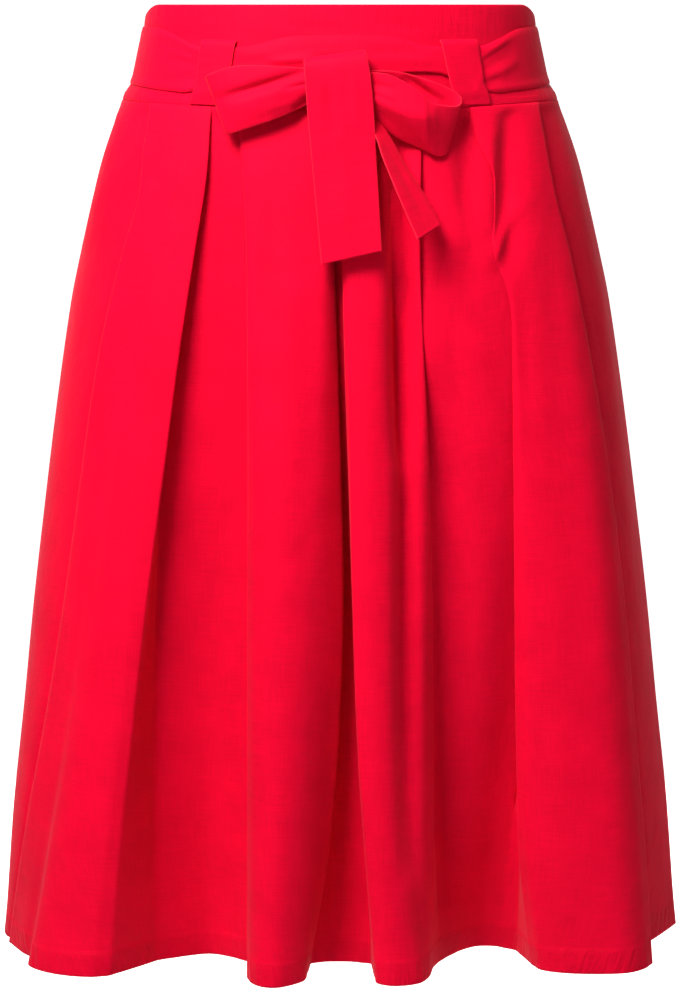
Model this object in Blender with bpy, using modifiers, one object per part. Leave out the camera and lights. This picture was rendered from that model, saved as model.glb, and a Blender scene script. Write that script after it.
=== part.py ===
"""Knee-length pleated skirt with a fitted waistband, belt carriers and a tied sash.

Frame: +X to the right, the front faces -Y, +Z up. The origin is the middle of the
waist ring, in the plane of the waistband's top edge. The tables are in millimetres.
"""
import math
from collections import namedtuple

import bpy

MM = 0.001
COLLECTION = "pleated_skirt"

# Cloth thicknesses and clearances.
PANEL_WALL = 1.3
BAND_WALL = 2.2
SASH_WALL = 1.4
CARRIER_WALL = 1.2
RIBBON_WALL = 1.4
TAPE_WALL = 1.0
GAP = 0.3
SEAM_GAP = 0.6
SIDE_GAP = 0.6
FOLD_RADIUS = 1.0
STRAIGHT = 0.05
SHARPEST_FOLD = 0.2

# Heights.
HEM_Z = -679.0
WAIST_SEAM_Z = -71.1
WAIST_SEAM_SIDE_RISE = 4.7
RIM_DROP = 9.5
RIM_DROP_START = 70.0

# Horizontal outline of the skirt: half width and half depth, with rounded-box power.
SEAM_HALF_WIDTH = 155.7
SEAM_HALF_DEPTH = 106.5
HEM_HALF_WIDTH = 249.0
HEM_HALF_DEPTH = 163.0
SEAM_POWER = 2.2
HEM_POWER = 2.5
SEAM_QUARTER = 213.9
SEAM_STEPS = 720
NORMAL_STEP = math.radians(1.5)

# Half width of the skirt, seen from the front, at each height.
Flare = namedtuple("Flare", "z half_width")
FLARE = [
    Flare(-66.0, 155.7), Flare(-82.0, 162.3), Flare(-110.0, 171.9), Flare(-139.0, 179.3),
    Flare(-175.0, 187.6), Flare(-211.0, 195.1), Flare(-284.0, 206.0), Flare(-357.0, 215.5),
    Flare(-430.0, 224.4), Flare(-505.0, 232.2), Flare(-579.0, 240.4), Flare(-655.0, 246.5),
    Flare(-679.0, 249.0),
]

# Outside of the waistband: it is drawn in under the sash and flares below it.
BAND_PROFILE = [
    Flare(0.0, 137.8), Flare(-8.0, 139.3), Flare(-14.5, 140.2), Flare(-18.0, 139.9),
    Flare(-35.0, 143.4), Flare(-50.0, 146.7), Flare(-56.0, 148.3), Flare(-58.5, 150.8),
    Flare(-63.0, 155.2), Flare(-66.4, 155.8),
]
BAND_TOP_HALF_DEPTH = 97.0
BAND_DEPTH_PER_WIDTH = 0.53
BAND_COLUMNS = 23

# Levels of the panels, as shares of the height from the waist seam to the hem.
FRONT_LEVELS = [0.0, 0.012, 0.032, 0.064, 0.113, 0.18, 0.26, 0.36, 0.475, 0.59, 0.705, 0.82,
                0.92, 1.0]
BACK_LEVELS = [0.0, 0.015, 0.045, 0.10, 0.18, 0.29, 0.42, 0.57, 0.72, 0.87, 1.0]

# Depth of each folded layer from the outline at the waist seam.
FACE = 0.8
EDGE = -0.2
RETURN = -1.2
INNER = -2.2
FLOOR = -3.2
PLAIN = -1.2

# One row for each line that runs down a panel: how far round the waist seam it starts,
# its layer there, where it meets the hem, how late its fold opens, and whether the
# cloth turns back on itself along it.
Line = namedtuple("Line", "name seam layer hem_x hem_y late folds")
FRONT_LINES = [
    Line("side_left", -213.9, PLAIN, -248.3, -2.0, 1.0, False),
    Line("side_left_a", -198.0, -1.4, -247.6, -5.5, 1.0, False),
    Line("side_left_b", -178.0, -2.0, -245.5, -11.0, 1.0, False),
    Line("side_left_c", -158.0, -3.0, -241.5, -16.5, 1.0, False),
    Line("side_left_d", -140.0, FLOOR, -235.0, -21.0, 1.0, False),
    Line("b_inner", -125.0, INNER, -227.5, -26.0, 1.0, True),
    Line("b_return", -139.0, RETURN, -235.0, -30.5, 1.0, False),
    Line("b_edge", -153.4, EDGE, -243.0, -34.0, 1.0, True),
    Line("b_dip", -146.5, FACE, -229.5, -66.0, 4.0, False),
    Line("b_tuck", -140.0, FACE, -221.5, -81.0, 5.0, False),
    Line("b_ridge", -133.5, FACE, -222.5, -100.0, 2.0, False),
    Line("bc_face_a", -126.0, FACE, -210.0, -117.0, 1.2, False),
    Line("bc_face_b", -117.0, FACE, -192.0, -128.0, 1.2, False),
    Line("bc_face_c", -106.0, FACE, -174.0, -131.3, 1.2, False),
    Line("c_edge", -95.6, EDGE, -163.0, -128.0, 1.2, True),
    Line("c_return", -107.0, RETURN, -150.0, -112.0, 1.1, False),
    Line("c_inner", -118.5, INNER, -130.0, -86.0, 1.1, True),
    Line("cd_floor_a", -98.0, FLOOR, -114.0, -76.5, 1.1, False),
    Line("cd_floor_b", -80.0, FLOOR, -94.0, -68.8, 1.1, False),
    Line("cd_floor_c", -60.0, FLOOR, -79.0, -77.0, 1.1, False),
    Line("d_inner", -48.0, INNER, -64.5, -92.0, 1.1, True),
    Line("d_return", -59.0, RETURN, -65.5, -113.0, 1.1, False),
    Line("d_edge", -71.0, EDGE, -65.5, -134.0, 1.1, True),
    Line("de_face_a", -63.0, FACE, -62.5, -146.5, 1.2, False),
    Line("de_face_b", -52.0, FACE, -55.5, -157.0, 1.2, False),
    Line("de_face_c", -38.0, FACE, -45.0, -160.0, 1.2, False),
    Line("de_face_d", -24.0, FACE, -34.0, -153.0, 1.2, False),
    Line("de_ridge", -13.0, FACE, -25.0, -141.0, 1.2, False),
    Line("e_edge", -4.0, EDGE, -22.8, -119.0, 1.1, True),
    Line("e_return", -16.5, RETURN, -22.0, -107.0, 1.1, False),
    Line("e_inner", -29.0, INNER, -20.5, -95.5, 1.1, True),
    Line("ef_floor_a", -15.0, FLOOR, -10.0, -90.5, 1.1, False),
    Line("ef_floor_b", 8.0, FLOOR, 8.0, -90.5, 1.1, False),
    Line("f_inner", 28.0, INNER, 22.0, -96.0, 1.1, True),
    Line("f_return", 15.0, RETURN, 23.2, -112.0, 1.1, False),
    Line("f_edge", 2.2, EDGE, 24.0, -129.0, 1.1, True),
    Line("fg_face_a", 8.0, FACE, 26.0, -148.5, 1.2, False),
    Line("fg_face_b", 18.0, FACE, 36.0, -155.0, 1.2, False),
    Line("fg_face_c", 28.0, FACE, 48.0, -153.0, 1.2, False),
    Line("fg_ridge", 38.0, FACE, 57.0, -146.5, 1.2, False),
    Line("fg_groove", 45.0, FACE, 60.5, -139.0, 0.8, False),
    Line("fg_strip", 53.0, FACE, 63.5, -129.0, 1.4, False),
    Line("g_edge", 60.6, EDGE, 66.3, -107.0, 1.1, True),
    Line("g_return", 47.0, RETURN, 71.0, -91.0, 1.1, False),
    Line("g_inner", 34.0, INNER, 77.5, -77.0, 1.1, True),
    Line("gi_floor_a", 55.0, FLOOR, 87.0, -60.5, 1.1, False),
    Line("gi_floor_b", 80.0, FLOOR, 100.0, -47.8, 1.1, False),
    Line("gi_floor_c", 100.0, FLOOR, 113.5, -48.0, 1.1, False),
    Line("i_inner", 121.0, INNER, 127.0, -59.0, 1.1, True),
    Line("i_return", 109.0, RETURN, 132.5, -79.0, 1.1, False),
    Line("i_edge", 97.8, EDGE, 136.8, -98.0, 1.2, True),
    Line("ij_face_a", 104.0, FACE, 142.5, -112.5, 1.2, False),
    Line("ij_face_b", 116.0, FACE, 157.0, -120.5, 1.2, False),
    Line("ij_face_c", 130.0, FACE, 180.0, -123.5, 1.2, False),
    Line("ij_face_d", 143.0, FACE, 204.0, -120.5, 1.2, False),
    Line("ij_face_e", 152.0, FACE, 217.0, -109.0, 1.2, False),
    Line("j_edge", 158.6, EDGE, 223.5, -95.0, 1.2, True),
    Line("j_return", 143.0, RETURN, 219.0, -72.0, 1.1, False),
    Line("j_inner", 128.5, INNER, 213.0, -50.0, 1.1, True),
    Line("side_right_d", 144.0, FLOOR, 219.5, -42.0, 1.1, False),
    Line("side_right_c", 161.0, -3.0, 227.5, -32.0, 1.1, False),
    Line("side_right_b", 179.0, -2.0, 236.0, -15.0, 1.1, False),
    Line("side_right_a", 198.0, -1.4, 243.5, 1.5, 1.0, False),
    Line("side_right", 213.9, PLAIN, 250.6, 18.0, 1.0, False),
]

# The back panel, as seen from behind: the same four box pleats, plainer.
BACK_LINES = [
    Line("side_right", -213.9, PLAIN, -250.6, -18.0, 1.0, False),
    Line("side_right_a", -198.0, -1.4, -250.0, -26.0, 1.0, False),
    Line("side_right_b", -180.0, -2.0, -245.0, -34.0, 1.0, False),
    Line("side_right_c", -162.0, -3.0, -236.0, -43.0, 1.0, False),
    Line("side_right_d", -144.0, FLOOR, -225.0, -52.0, 1.0, False),
    Line("k_inner", -128.0, INNER, -214.0, -60.0, 1.0, True),
    Line("k_return", -143.0, RETURN, -219.0, -78.0, 1.0, False),
    Line("k_edge", -158.0, EDGE, -222.0, -98.0, 1.1, True),
    Line("kl_face_a", -140.0, FACE, -200.0, -124.0, 1.2, False),
    Line("kl_face_b", -118.0, FACE, -172.0, -132.0, 1.2, False),
    Line("l_edge", -97.0, EDGE, -143.0, -118.0, 1.1, True),
    Line("l_return", -109.0, RETURN, -134.0, -98.0, 1.1, False),
    Line("l_inner", -121.0, INNER, -122.0, -74.0, 1.1, True),
    Line("lm_floor_a", -96.0, FLOOR, -104.0, -63.0, 1.1, False),
    Line("lm_floor_b", -70.0, FLOOR, -86.0, -67.0, 1.1, False),
    Line("m_inner", -38.0, INNER, -70.0, -86.0, 1.1, True),
    Line("m_return", -52.0, RETURN, -71.0, -108.0, 1.1, False),
    Line("m_edge", -66.0, EDGE, -70.0, -132.0, 1.1, True),
    Line("mn_face_a", -50.0, FACE, -58.0, -156.0, 1.2, False),
    Line("mn_face_b", -28.0, FACE, -38.0, -158.0, 1.2, False),
    Line("n_edge", -4.0, EDGE, -18.0, -134.0, 1.1, True),
    Line("n_return", -18.0, RETURN, -16.0, -112.0, 1.1, False),
    Line("n_inner", -32.0, INNER, -13.0, -92.0, 1.1, True),
    Line("no_floor", -2.0, FLOOR, 2.0, -87.0, 1.1, False),
    Line("o_inner", 30.0, INNER, 16.0, -93.0, 1.1, True),
    Line("o_return", 17.0, RETURN, 18.0, -114.0, 1.1, False),
    Line("o_edge", 3.0, EDGE, 20.0, -136.0, 1.1, True),
    Line("op_face_a", 20.0, FACE, 38.0, -160.0, 1.2, False),
    Line("op_face_b", 44.0, FACE, 58.0, -156.0, 1.2, False),
    Line("p_edge", 66.0, EDGE, 76.0, -130.0, 1.1, True),
    Line("p_return", 52.0, RETURN, 77.0, -106.0, 1.1, False),
    Line("p_inner", 38.0, INNER, 78.0, -82.0, 1.1, True),
    Line("pq_floor_a", 70.0, FLOOR, 92.0, -65.0, 1.1, False),
    Line("pq_floor_b", 96.0, FLOOR, 108.0, -61.0, 1.1, False),
    Line("q_inner", 121.0, INNER, 124.0, -70.0, 1.1, True),
    Line("q_return", 109.0, RETURN, 134.0, -94.0, 1.1, False),
    Line("q_edge", 97.0, EDGE, 142.0, -116.0, 1.1, True),
    Line("qr_face_a", 118.0, FACE, 168.0, -134.0, 1.2, False),
    Line("qr_face_b", 140.0, FACE, 198.0, -126.0, 1.2, False),
    Line("r_edge", 156.0, EDGE, 224.0, -98.0, 1.1, True),
    Line("r_return", 142.0, RETURN, 219.0, -78.0, 1.0, False),
    Line("r_inner", 127.0, INNER, 213.0, -56.0, 1.0, True),
    Line("side_left_d", 143.0, FLOOR, 223.0, -48.0, 1.0, False),
    Line("side_left_c", 161.0, -3.0, 233.0, -38.0, 1.0, False),
    Line("side_left_b", 179.0, -2.0, 241.0, -24.0, 1.0, False),
    Line("side_left_a", 198.0, -1.4, 246.0, -10.0, 1.0, False),
    Line("side_left", 213.9, PLAIN, 248.3, 2.0, 1.0, False),
]

# How far from the centre front each fold edge hangs, at the heights of EDGE_HEIGHTS.
EDGE_HEIGHTS = [-120.0, -170.0, -240.0, -320.0, -420.0, -520.0, -600.0]
FURTHEST_REACH = 0.995
EDGE_COURSES = {
    "b_edge": [-145.5, -156.7, -169.5, -181.1, -196.5, -214.0, -229.0],
    "c_edge": [-94.5, -103.2, -113.7, -123.9, -137.0, -148.1, -156.5],
    "d_edge": [-66.5, -64.5, -64.0, -64.0, -64.2, -64.5, -65.0],
    "de_ridge": [-11.0, -10.0, -10.5, -11.5, -14.0, -17.5, -21.4],
    "e_edge": [-4.3, -4.2, -2.0, 0.6, 2.4, -1.5, -9.0],
    "f_edge": [1.2, 1.6, 3.2, 5.8, 9.0, 13.2, 18.4],
    "fg_ridge": [38.0, 38.5, 37.9, 35.8, 36.2, 39.5, 46.9],
    "fg_groove": [45.0, 45.0, 45.0, 44.5, 44.5, 47.0, 52.5],
    "fg_strip": [53.0, 54.0, 57.5, 58.5, 57.5, 58.0, 59.5],
    "g_edge": [59.6, 61.3, 66.0, 70.2, 70.5, 69.5, 68.0],
    "i_edge": [100.5, 107.0, 116.5, 120.8, 122.8, 124.6, 127.5],
    "j_edge": [149.7, 162.8, 176.4, 189.4, 201.8, 211.0, 218.0],
}

# Upper and lower edge of the sash by angle from the centre front, and its gathering.
SashEdge = namedtuple("SashEdge", "angle top bottom gather")
SASH_EDGES = [
    SashEdge(0.0, -20.5, -45.5, 1.0), SashEdge(13.0, -22.0, -45.7, 1.0),
    SashEdge(24.0, -28.4, -46.0, 1.0), SashEdge(34.0, -28.8, -50.0, 0.9),
    SashEdge(42.0, -28.4, -56.5, 0.7), SashEdge(50.0, -23.5, -58.0, 0.4),
    SashEdge(60.0, -17.5, -57.2, 0.2), SashEdge(72.0, -15.8, -55.8, 0.0),
    SashEdge(90.0, -15.7, -55.3, 0.0), SashEdge(118.0, -15.9, -55.6, 0.0),
    SashEdge(138.0, -28.2, -56.6, 0.3), SashEdge(156.0, -28.4, -56.6, 0.3),
    SashEdge(180.0, -20.0, -56.0, 0.2),
]
SASH_COLUMNS = 60
SASH_ROWS = 6
SASH_FOLD = 1.0
SASH_CLEAR = 0.8

# Belt carriers: angles of their sides at the top and at the bottom.
Carrier = namedtuple("Carrier", "node top_from top_to bottom_from bottom_to")
CARRIERS = [
    Carrier("belt_loop_front_left", -40.2, -26.5, -39.2, -27.5),
    Carrier("belt_loop_front_right", 27.2, 39.8, 29.6, 40.0),
    Carrier("belt_loop_back_left", 220.0, 206.5, 219.2, 207.5),
    Carrier("belt_loop_back_right", 153.5, 140.0, 152.5, 140.8),
]
CarrierRow = namedtuple("CarrierRow", "z out")
CARRIER_ROWS = [
    CarrierRow(-24.0, 1.0), CarrierRow(-25.2, 2.3), CarrierRow(-26.8, 4.1),
    CarrierRow(-38.0, 4.5), CarrierRow(-50.0, 4.5), CarrierRow(-60.5, 4.2),
    CarrierRow(-65.0, 2.0), CarrierRow(-70.4, 1.0),
]
CARRIER_COLUMNS = 5

# Strips of the tied sash: the two long edges of each strip, and how far its middle
# stands forward of them.
Strip = namedtuple("Strip", "ax ay az bx by bz belly")
LOOP_LEFT = [
    Strip(-16.9, -114.6, -44.4, -16.9, -114.8, -63.0, 0.8),
    Strip(-24.5, -115.5, -43.6, -24.0, -116.0, -68.1, 1.5),
    Strip(-50.0, -114.0, -41.8, -44.6, -118.0, -77.0, 1.8),
    Strip(-73.5, -109.0, -42.4, -67.0, -115.5, -84.6, 1.2),
    Strip(-88.6, -104.5, -47.4, -76.0, -111.5, -87.2, 0.5),
    Strip(-92.3, -101.0, -49.2, -78.5, -108.5, -87.0, 0.3),
    Strip(-89.5, -98.6, -49.6, -76.5, -106.5, -85.6, 0.2),
    Strip(-70.0, -102.8, -46.6, -62.0, -108.2, -79.0, 0.3),
    Strip(-40.0, -106.8, -45.4, -36.0, -109.4, -71.5, 0.3),
    Strip(-16.9, -108.8, -46.5, -16.9, -109.4, -62.0, 0.0),
]
LOOP_RIGHT = [
    Strip(16.9, -114.8, -45.4, 16.9, -115.0, -63.6, 0.8),
    Strip(22.5, -116.5, -46.4, 21.5, -118.0, -75.8, 2.0),
    Strip(36.0, -119.0, -48.6, 38.5, -121.5, -89.8, 3.2),
    Strip(52.8, -118.2, -58.4, 57.0, -121.0, -98.2, 2.2),
    Strip(68.5, -114.0, -67.4, 67.0, -118.5, -101.6, 0.6),
    Strip(80.0, -111.4, -69.0, 71.0, -118.0, -101.0, 0.0),
    Strip(84.2, -106.4, -65.4, 76.0, -113.6, -97.4, 0.0),
    Strip(79.0, -101.8, -60.4, 71.0, -109.0, -91.5, 0.0),
    Strip(60.0, -103.4, -51.6, 55.0, -109.4, -81.0, 0.2),
    Strip(40.0, -106.6, -46.2, 37.0, -110.6, -72.0, 0.4),
    Strip(16.9, -108.8, -45.0, 16.9, -109.4, -62.5, 0.0),
]
TAIL_FRONT = [
    Strip(-21.5, -107.2, -36.6, 14.5, -107.2, -31.0, 0.2),
    Strip(-24.0, -114.5, -36.8, 16.8, -114.0, -31.4, 0.6),
    Strip(-24.2, -119.8, -41.0, 18.2, -119.4, -36.0, 1.0),
    Strip(-23.2, -121.6, -52.0, 20.4, -121.6, -49.0, 1.2),
    Strip(-21.9, -122.4, -71.5, 22.6, -122.8, -71.0, 1.0),
    Strip(-18.5, -125.0, -108.0, 24.5, -125.8, -106.0, 0.8),
    Strip(-15.2, -129.8, -144.0, 26.4, -130.6, -138.0, 0.4),
    Strip(-12.3, -133.6, -176.5, 28.1, -134.2, -167.5, 0.2),
]
TAIL_UNDER = [
    Strip(-1.0, -114.2, -64.9, 10.0, -113.8, -64.9, 0.0),
    Strip(10.5, -116.6, -74.5, 20.0, -114.6, -74.5, 0.2),
    Strip(23.5, -120.6, -88.0, 32.0, -117.0, -87.0, 0.4),
    Strip(30.5, -124.0, -107.0, 45.0, -120.6, -109.5, 0.6),
    Strip(43.0, -128.6, -137.0, 59.5, -124.6, -132.5, 0.4),
    Strip(53.6, -132.2, -160.5, 68.8, -127.8, -150.3, 0.2),
]
STRIP_COLUMNS = 5
STRIP_STEPS = 3

# Knot: a short wad of gathered sash.
KNOT_CENTRE = (0.0, -112.7, -52.5)
KNOT_HALF = (16.4, 9.0, 12.6)
KNOT_SEGMENTS = 20
KNOT_RINGS = 9
KNOT_FOLDS = 6
KNOT_FOLD_DEPTH = 0.05
KNOT_SQUARENESS = 0.5

# Concealed zip in the left side seam.
ZIP_HEIGHTS = [-13.0, -20.0, -35.0, -50.0, -55.0, -58.0, -62.0, -65.5, -70.0, -80.0, -100.0, -130.0,
               -160.0, -190.0]
ZIP_HALF_WIDTH = 9.0
ZIP_INSET = 2.3
ZIP_COLUMNS = 5
ZIP_SLIDER_SIZE = (2.6, 5.4, 8.5)
ZIP_SLIDER_Z = -19.0
ZIP_SLIDER_BEVEL = 0.7

# Colours: deep red cotton, darker woven tape and enamelled metal.
COTTON_RED = (0.86, 0.004, 0.032, 1.0)
BAND_RED = (0.84, 0.004, 0.032, 1.0)
SASH_RED = (0.87, 0.004, 0.036, 1.0)
TAPE_RED = (0.55, 0.005, 0.02, 1.0)
METAL_RED = (0.45, 0.01, 0.02, 1.0)
CLOTH_ROUGHNESS = 0.7
TAPE_ROUGHNESS = 0.8
METAL_ROUGHNESS = 0.35
SMOOTH_ANGLE = math.radians(40.0)


def clear_scene():
    for item in list(bpy.data.objects):
        bpy.data.objects.remove(item, do_unlink=True)


def signed_power(value, power):
    return math.copysign(abs(value) ** power, value)


def look_up(xs, ys, x):
    """Smooth curve through the table, read at x. xs fall or rise steadily."""
    if xs[0] > xs[-1]:
        xs = [-v for v in xs]
        x = -x
    if x <= xs[0]:
        return ys[0]
    if x >= xs[-1]:
        return ys[-1]
    i = max(k for k in range(len(xs) - 1) if xs[k] <= x)
    before = max(i - 1, 0)
    after = min(i + 2, len(xs) - 1)
    width = xs[i + 1] - xs[i]
    slope_a = (ys[i + 1] - ys[before]) / (xs[i + 1] - xs[before]) * width
    slope_b = (ys[after] - ys[i]) / (xs[after] - xs[i]) * width
    u = (x - xs[i]) / width
    return (ys[i] * (2 * u ** 3 - 3 * u ** 2 + 1) + slope_a * (u ** 3 - 2 * u ** 2 + u)
            + ys[i + 1] * (3 * u ** 2 - 2 * u ** 3) + slope_b * (u ** 3 - u ** 2))


def skirt_half_width(z):
    return look_up([r.z for r in FLARE], [r.half_width for r in FLARE], z)


def growth(z):
    """0 at the waist seam and 1 at the hem, in step with the flare."""
    share = (skirt_half_width(z) - SEAM_HALF_WIDTH) / (HEM_HALF_WIDTH - SEAM_HALF_WIDTH)
    return min(max(share, 0.0), 1.0)


def skirt_ring(z):
    g = growth(z)
    depth = SEAM_HALF_DEPTH + (HEM_HALF_DEPTH - SEAM_HALF_DEPTH) * g
    power = SEAM_POWER + (HEM_POWER - SEAM_POWER) * g
    return skirt_half_width(z), depth, power


def ring_point(ring, angle):
    """Point of a rounded ring at an angle from the front, turning to the right."""
    half_width, half_depth, power = ring
    x = half_width * signed_power(math.sin(angle), 2.0 / power)
    y = -half_depth * signed_power(math.cos(angle), 2.0 / power)
    return x, y


def ring_normal(ring, angle):
    step = NORMAL_STEP
    xa, ya = ring_point(ring, angle - step)
    xb, yb = ring_point(ring, angle + step)
    dx, dy = xb - xa, yb - ya
    size = math.hypot(dx, dy)
    return dy / size, -dx / size


def ring_angle(ring, x, y):
    """Angle whose direction matches a point near the ring."""
    half_width, half_depth, power = ring
    across = signed_power(x / half_width, power / 2.0)
    ahead = signed_power(-y / half_depth, power / 2.0)
    return math.atan2(across, ahead)


def ring_offset(ring, angle, out):
    x, y = ring_point(ring, angle)
    nx, ny = ring_normal(ring, angle)
    return x + nx * out, y + ny * out


def seam_angle(distance):
    """Ring angle at a distance round the waist seam from the centre."""
    ring = (SEAM_HALF_WIDTH, SEAM_HALF_DEPTH, SEAM_POWER)
    walked = 0.0
    last = ring_point(ring, 0.0)
    for i in range(1, SEAM_STEPS + 1):
        here = ring_point(ring, math.pi * i / SEAM_STEPS)
        length = math.hypot(here[0] - last[0], here[1] - last[1])
        if walked + length >= abs(distance):
            share = (abs(distance) - walked) / length
            return math.copysign(math.pi * (i - 1 + share) / SEAM_STEPS, distance)
        walked += length
        last = here
    return math.copysign(math.pi, distance)


def line_start(line):
    """Ring angle where a line starts. The ends lie exactly at the sides."""
    if abs(abs(line.seam) - SEAM_QUARTER) < 0.01:
        return math.copysign(math.pi / 2, line.seam)
    return seam_angle(line.seam)


def free_angle(line, share):
    """Ring angle of a line that swings evenly from the waist seam to the hem."""
    start = line_start(line)
    end = ring_angle(skirt_ring(HEM_Z), line.hem_x, line.hem_y)
    return start + (end - start) * share


def hem_shift(line, share):
    """How far a line has moved off the smooth outline by a level."""
    hem_ring = skirt_ring(HEM_Z)
    base = ring_point(hem_ring, ring_angle(hem_ring, line.hem_x, line.hem_y))
    opened = share ** line.late
    return (line.hem_x - base[0]) * opened, (line.hem_y - base[1]) * opened


def course_turn(line, share, z):
    """How far a fold edge with a known course turns from its even swing."""
    course = EDGE_COURSES[line.name]
    ring = skirt_ring(z)
    seam_x = ring_point(skirt_ring(WAIST_SEAM_Z), line_start(line))[0]
    heights = [WAIST_SEAM_Z] + EDGE_HEIGHTS + [HEM_Z]
    wanted = look_up(heights, [seam_x] + course + [line.hem_x], z)
    reach = (wanted - hem_shift(line, share)[0]) / ring[0]
    reach = min(max(reach, -FURTHEST_REACH), FURTHEST_REACH)
    return math.asin(signed_power(reach, ring[2] / 2.0)) - free_angle(line, share)


def line_turns(lines, share, zs):
    """Turn of every line: known at the courses, shared out between them."""
    anchors = {0: 0.0, len(lines) - 1: 0.0}
    for i, line in enumerate(lines):
        if line.name in EDGE_COURSES:
            anchors[i] = course_turn(line, share, zs[i])
    for i, line in enumerate(lines):
        if line.name.endswith("_inner"):
            edge = line.name.replace("_inner", "_edge")
            anchors[i] = anchors.get([n.name for n in lines].index(edge), 0.0)
    known = sorted(anchors)
    turns = []
    for i in range(len(lines)):
        low = max(k for k in known if k <= i)
        high = min(k for k in known if k >= i)
        part = (i - low) / (high - low) if high > low else 0.0
        turns.append(anchors[low] + (anchors[high] - anchors[low]) * part)
    return turns


def line_point(line, share, z, turn):
    """Point of a line at a level, on the middle of the cloth."""
    layer = line.layer * (1.0 - share)
    x, y = ring_offset(skirt_ring(z), free_angle(line, share) + turn, layer)
    shift_x, shift_y = hem_shift(line, share)
    return x + shift_x, y + shift_y


def unit(ax, ay, bx, by):
    size = math.hypot(bx - ax, by - ay)
    return (bx - ax) / size, (by - ay) / size


def fold_points(tip, before, after):
    """Three points that carry the cloth round a fold without touching itself."""
    ux, uy = unit(*tip, *before)
    vx, vy = unit(*tip, *after)
    mx, my = ux + vx, uy + vy
    size = math.hypot(mx, my)
    angle = math.acos(min(max(ux * vx + uy * vy, -1.0), 1.0))
    if size < STRAIGHT:
        mx, my = -uy, ux
        size = 1.0
    mx, my = mx / size, my / size
    nx, ny = -my, mx
    if nx * ux + ny * uy < 0:
        nx, ny = -nx, -ny
    pull = min(1.0, 1.0 / math.tan(max(angle, SHARPEST_FOLD) / 2.0)) * FOLD_RADIUS
    first = (tip[0] + mx * pull + nx * FOLD_RADIUS, tip[1] + my * pull + ny * FOLD_RADIUS)
    last = (tip[0] + mx * pull - nx * FOLD_RADIUS, tip[1] + my * pull - ny * FOLD_RADIUS)
    return [first, tip, last]


def seam_height(angle):
    return WAIST_SEAM_Z + WAIST_SEAM_SIDE_RISE * math.sin(angle) ** 2


def panel_rows(lines, levels):
    """Grid of points down a pleated panel, from the waist seam to the hem."""
    rows = []
    for share in levels:
        tops = [seam_height(line_start(line)) - SEAM_GAP for line in lines]
        heights = [top + (HEM_Z - top) * share for top in tops]
        turns = line_turns(lines, share, heights)
        points = []
        for line, z, turn in zip(lines, heights, turns):
            x, y = line_point(line, share, z, turn)
            points.append((x, y, z))
        row = []
        for i, line in enumerate(lines):
            x, y, z = points[i]
            if line.folds:
                before, after = points[i - 1][:2], points[i + 1][:2]
                row += [(px, py, z) for px, py in fold_points((x, y), before, after)]
            else:
                row.append((x, y, z))
        rows.append(row)
    return rows


def trim_sides(rows, gap):
    """Draws the two ends of every row back from the side seams."""
    for row in rows:
        for end, inside in ((0, 1), (-1, -2)):
            ux, uy = unit(*row[end][:2], *row[inside][:2])
            x, y, z = row[end]
            row[end] = (x + ux * gap / 2, y + uy * gap / 2, z)
    return rows


def turn_round(rows):
    """Half a turn about the upright axis, for pieces tabled as seen from behind."""
    return [[(-x, -y, z) for x, y, z in row] for row in rows]


def new_material(name, colour, roughness, metallic=0.0):
    material = bpy.data.materials.new(name)
    material.use_nodes = True
    shader = material.node_tree.nodes["Principled BSDF"]
    shader.inputs["Base Color"].default_value = colour
    shader.inputs["Roughness"].default_value = roughness
    shader.inputs["Metallic"].default_value = metallic
    material.diffuse_color = colour
    return material


def link_object(name, mesh, material):
    mesh.materials.append(material)
    mesh.polygons.foreach_set("use_smooth", [True] * len(mesh.polygons))
    mesh.set_sharp_from_angle(angle=SMOOTH_ANGLE)
    piece = bpy.data.objects.new(name, mesh)
    bpy.data.collections[COLLECTION].objects.link(piece)
    return piece


def add_sheet(name, rows, wall, material, ring=False):
    """Loft through rows of points, made into cloth of a given thickness."""
    across = len(rows[0])
    verts = [(x * MM, y * MM, z * MM) for row in rows for x, y, z in row]
    faces = []
    columns = across if ring else across - 1
    for i in range(len(rows) - 1):
        for j in range(columns):
            k = (j + 1) % across
            faces.append((i * across + j, (i + 1) * across + j,
                          (i + 1) * across + k, i * across + k))
    mesh = bpy.data.meshes.new(name)
    mesh.from_pydata(verts, [], faces)
    piece = link_object(name, mesh, material)
    solid = piece.modifiers.new("cloth", "SOLIDIFY")
    solid.thickness = wall * MM
    solid.offset = 0.0
    solid.use_even_offset = True
    return piece


def band_ring(z, angle, inward=0.0):
    """Outside of the waistband at a height, where the band is as tall as at an angle."""
    level = z * BAND_PROFILE[-1].z / seam_height(angle)
    width = look_up([r.z for r in BAND_PROFILE], [r.half_width for r in BAND_PROFILE], level)
    depth = BAND_TOP_HALF_DEPTH + (width - BAND_PROFILE[0].half_width) * BAND_DEPTH_PER_WIDTH
    return width - inward, depth - inward, SEAM_POWER


def rim_height(angle):
    """Top edge of the waistband: level, and a little lower right at the sides."""
    from_side = abs(90.0 - math.degrees(abs(angle)))
    reach = 90.0 - RIM_DROP_START
    return -RIM_DROP * max(0.0, 1.0 - from_side / reach)


def band_rows(first, last, columns):
    rows = []
    for profile in BAND_PROFILE:
        share = profile.z / BAND_PROFILE[-1].z
        row = []
        for j in range(columns):
            angle = math.radians(first + (last - first) * j / (columns - 1))
            top = rim_height(angle)
            z = top + (seam_height(angle) - top) * share
            x, y = ring_point(band_ring(z, angle, BAND_WALL / 2), angle)
            row.append((x, y, z))
        rows.append(row)
    return rows


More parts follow.
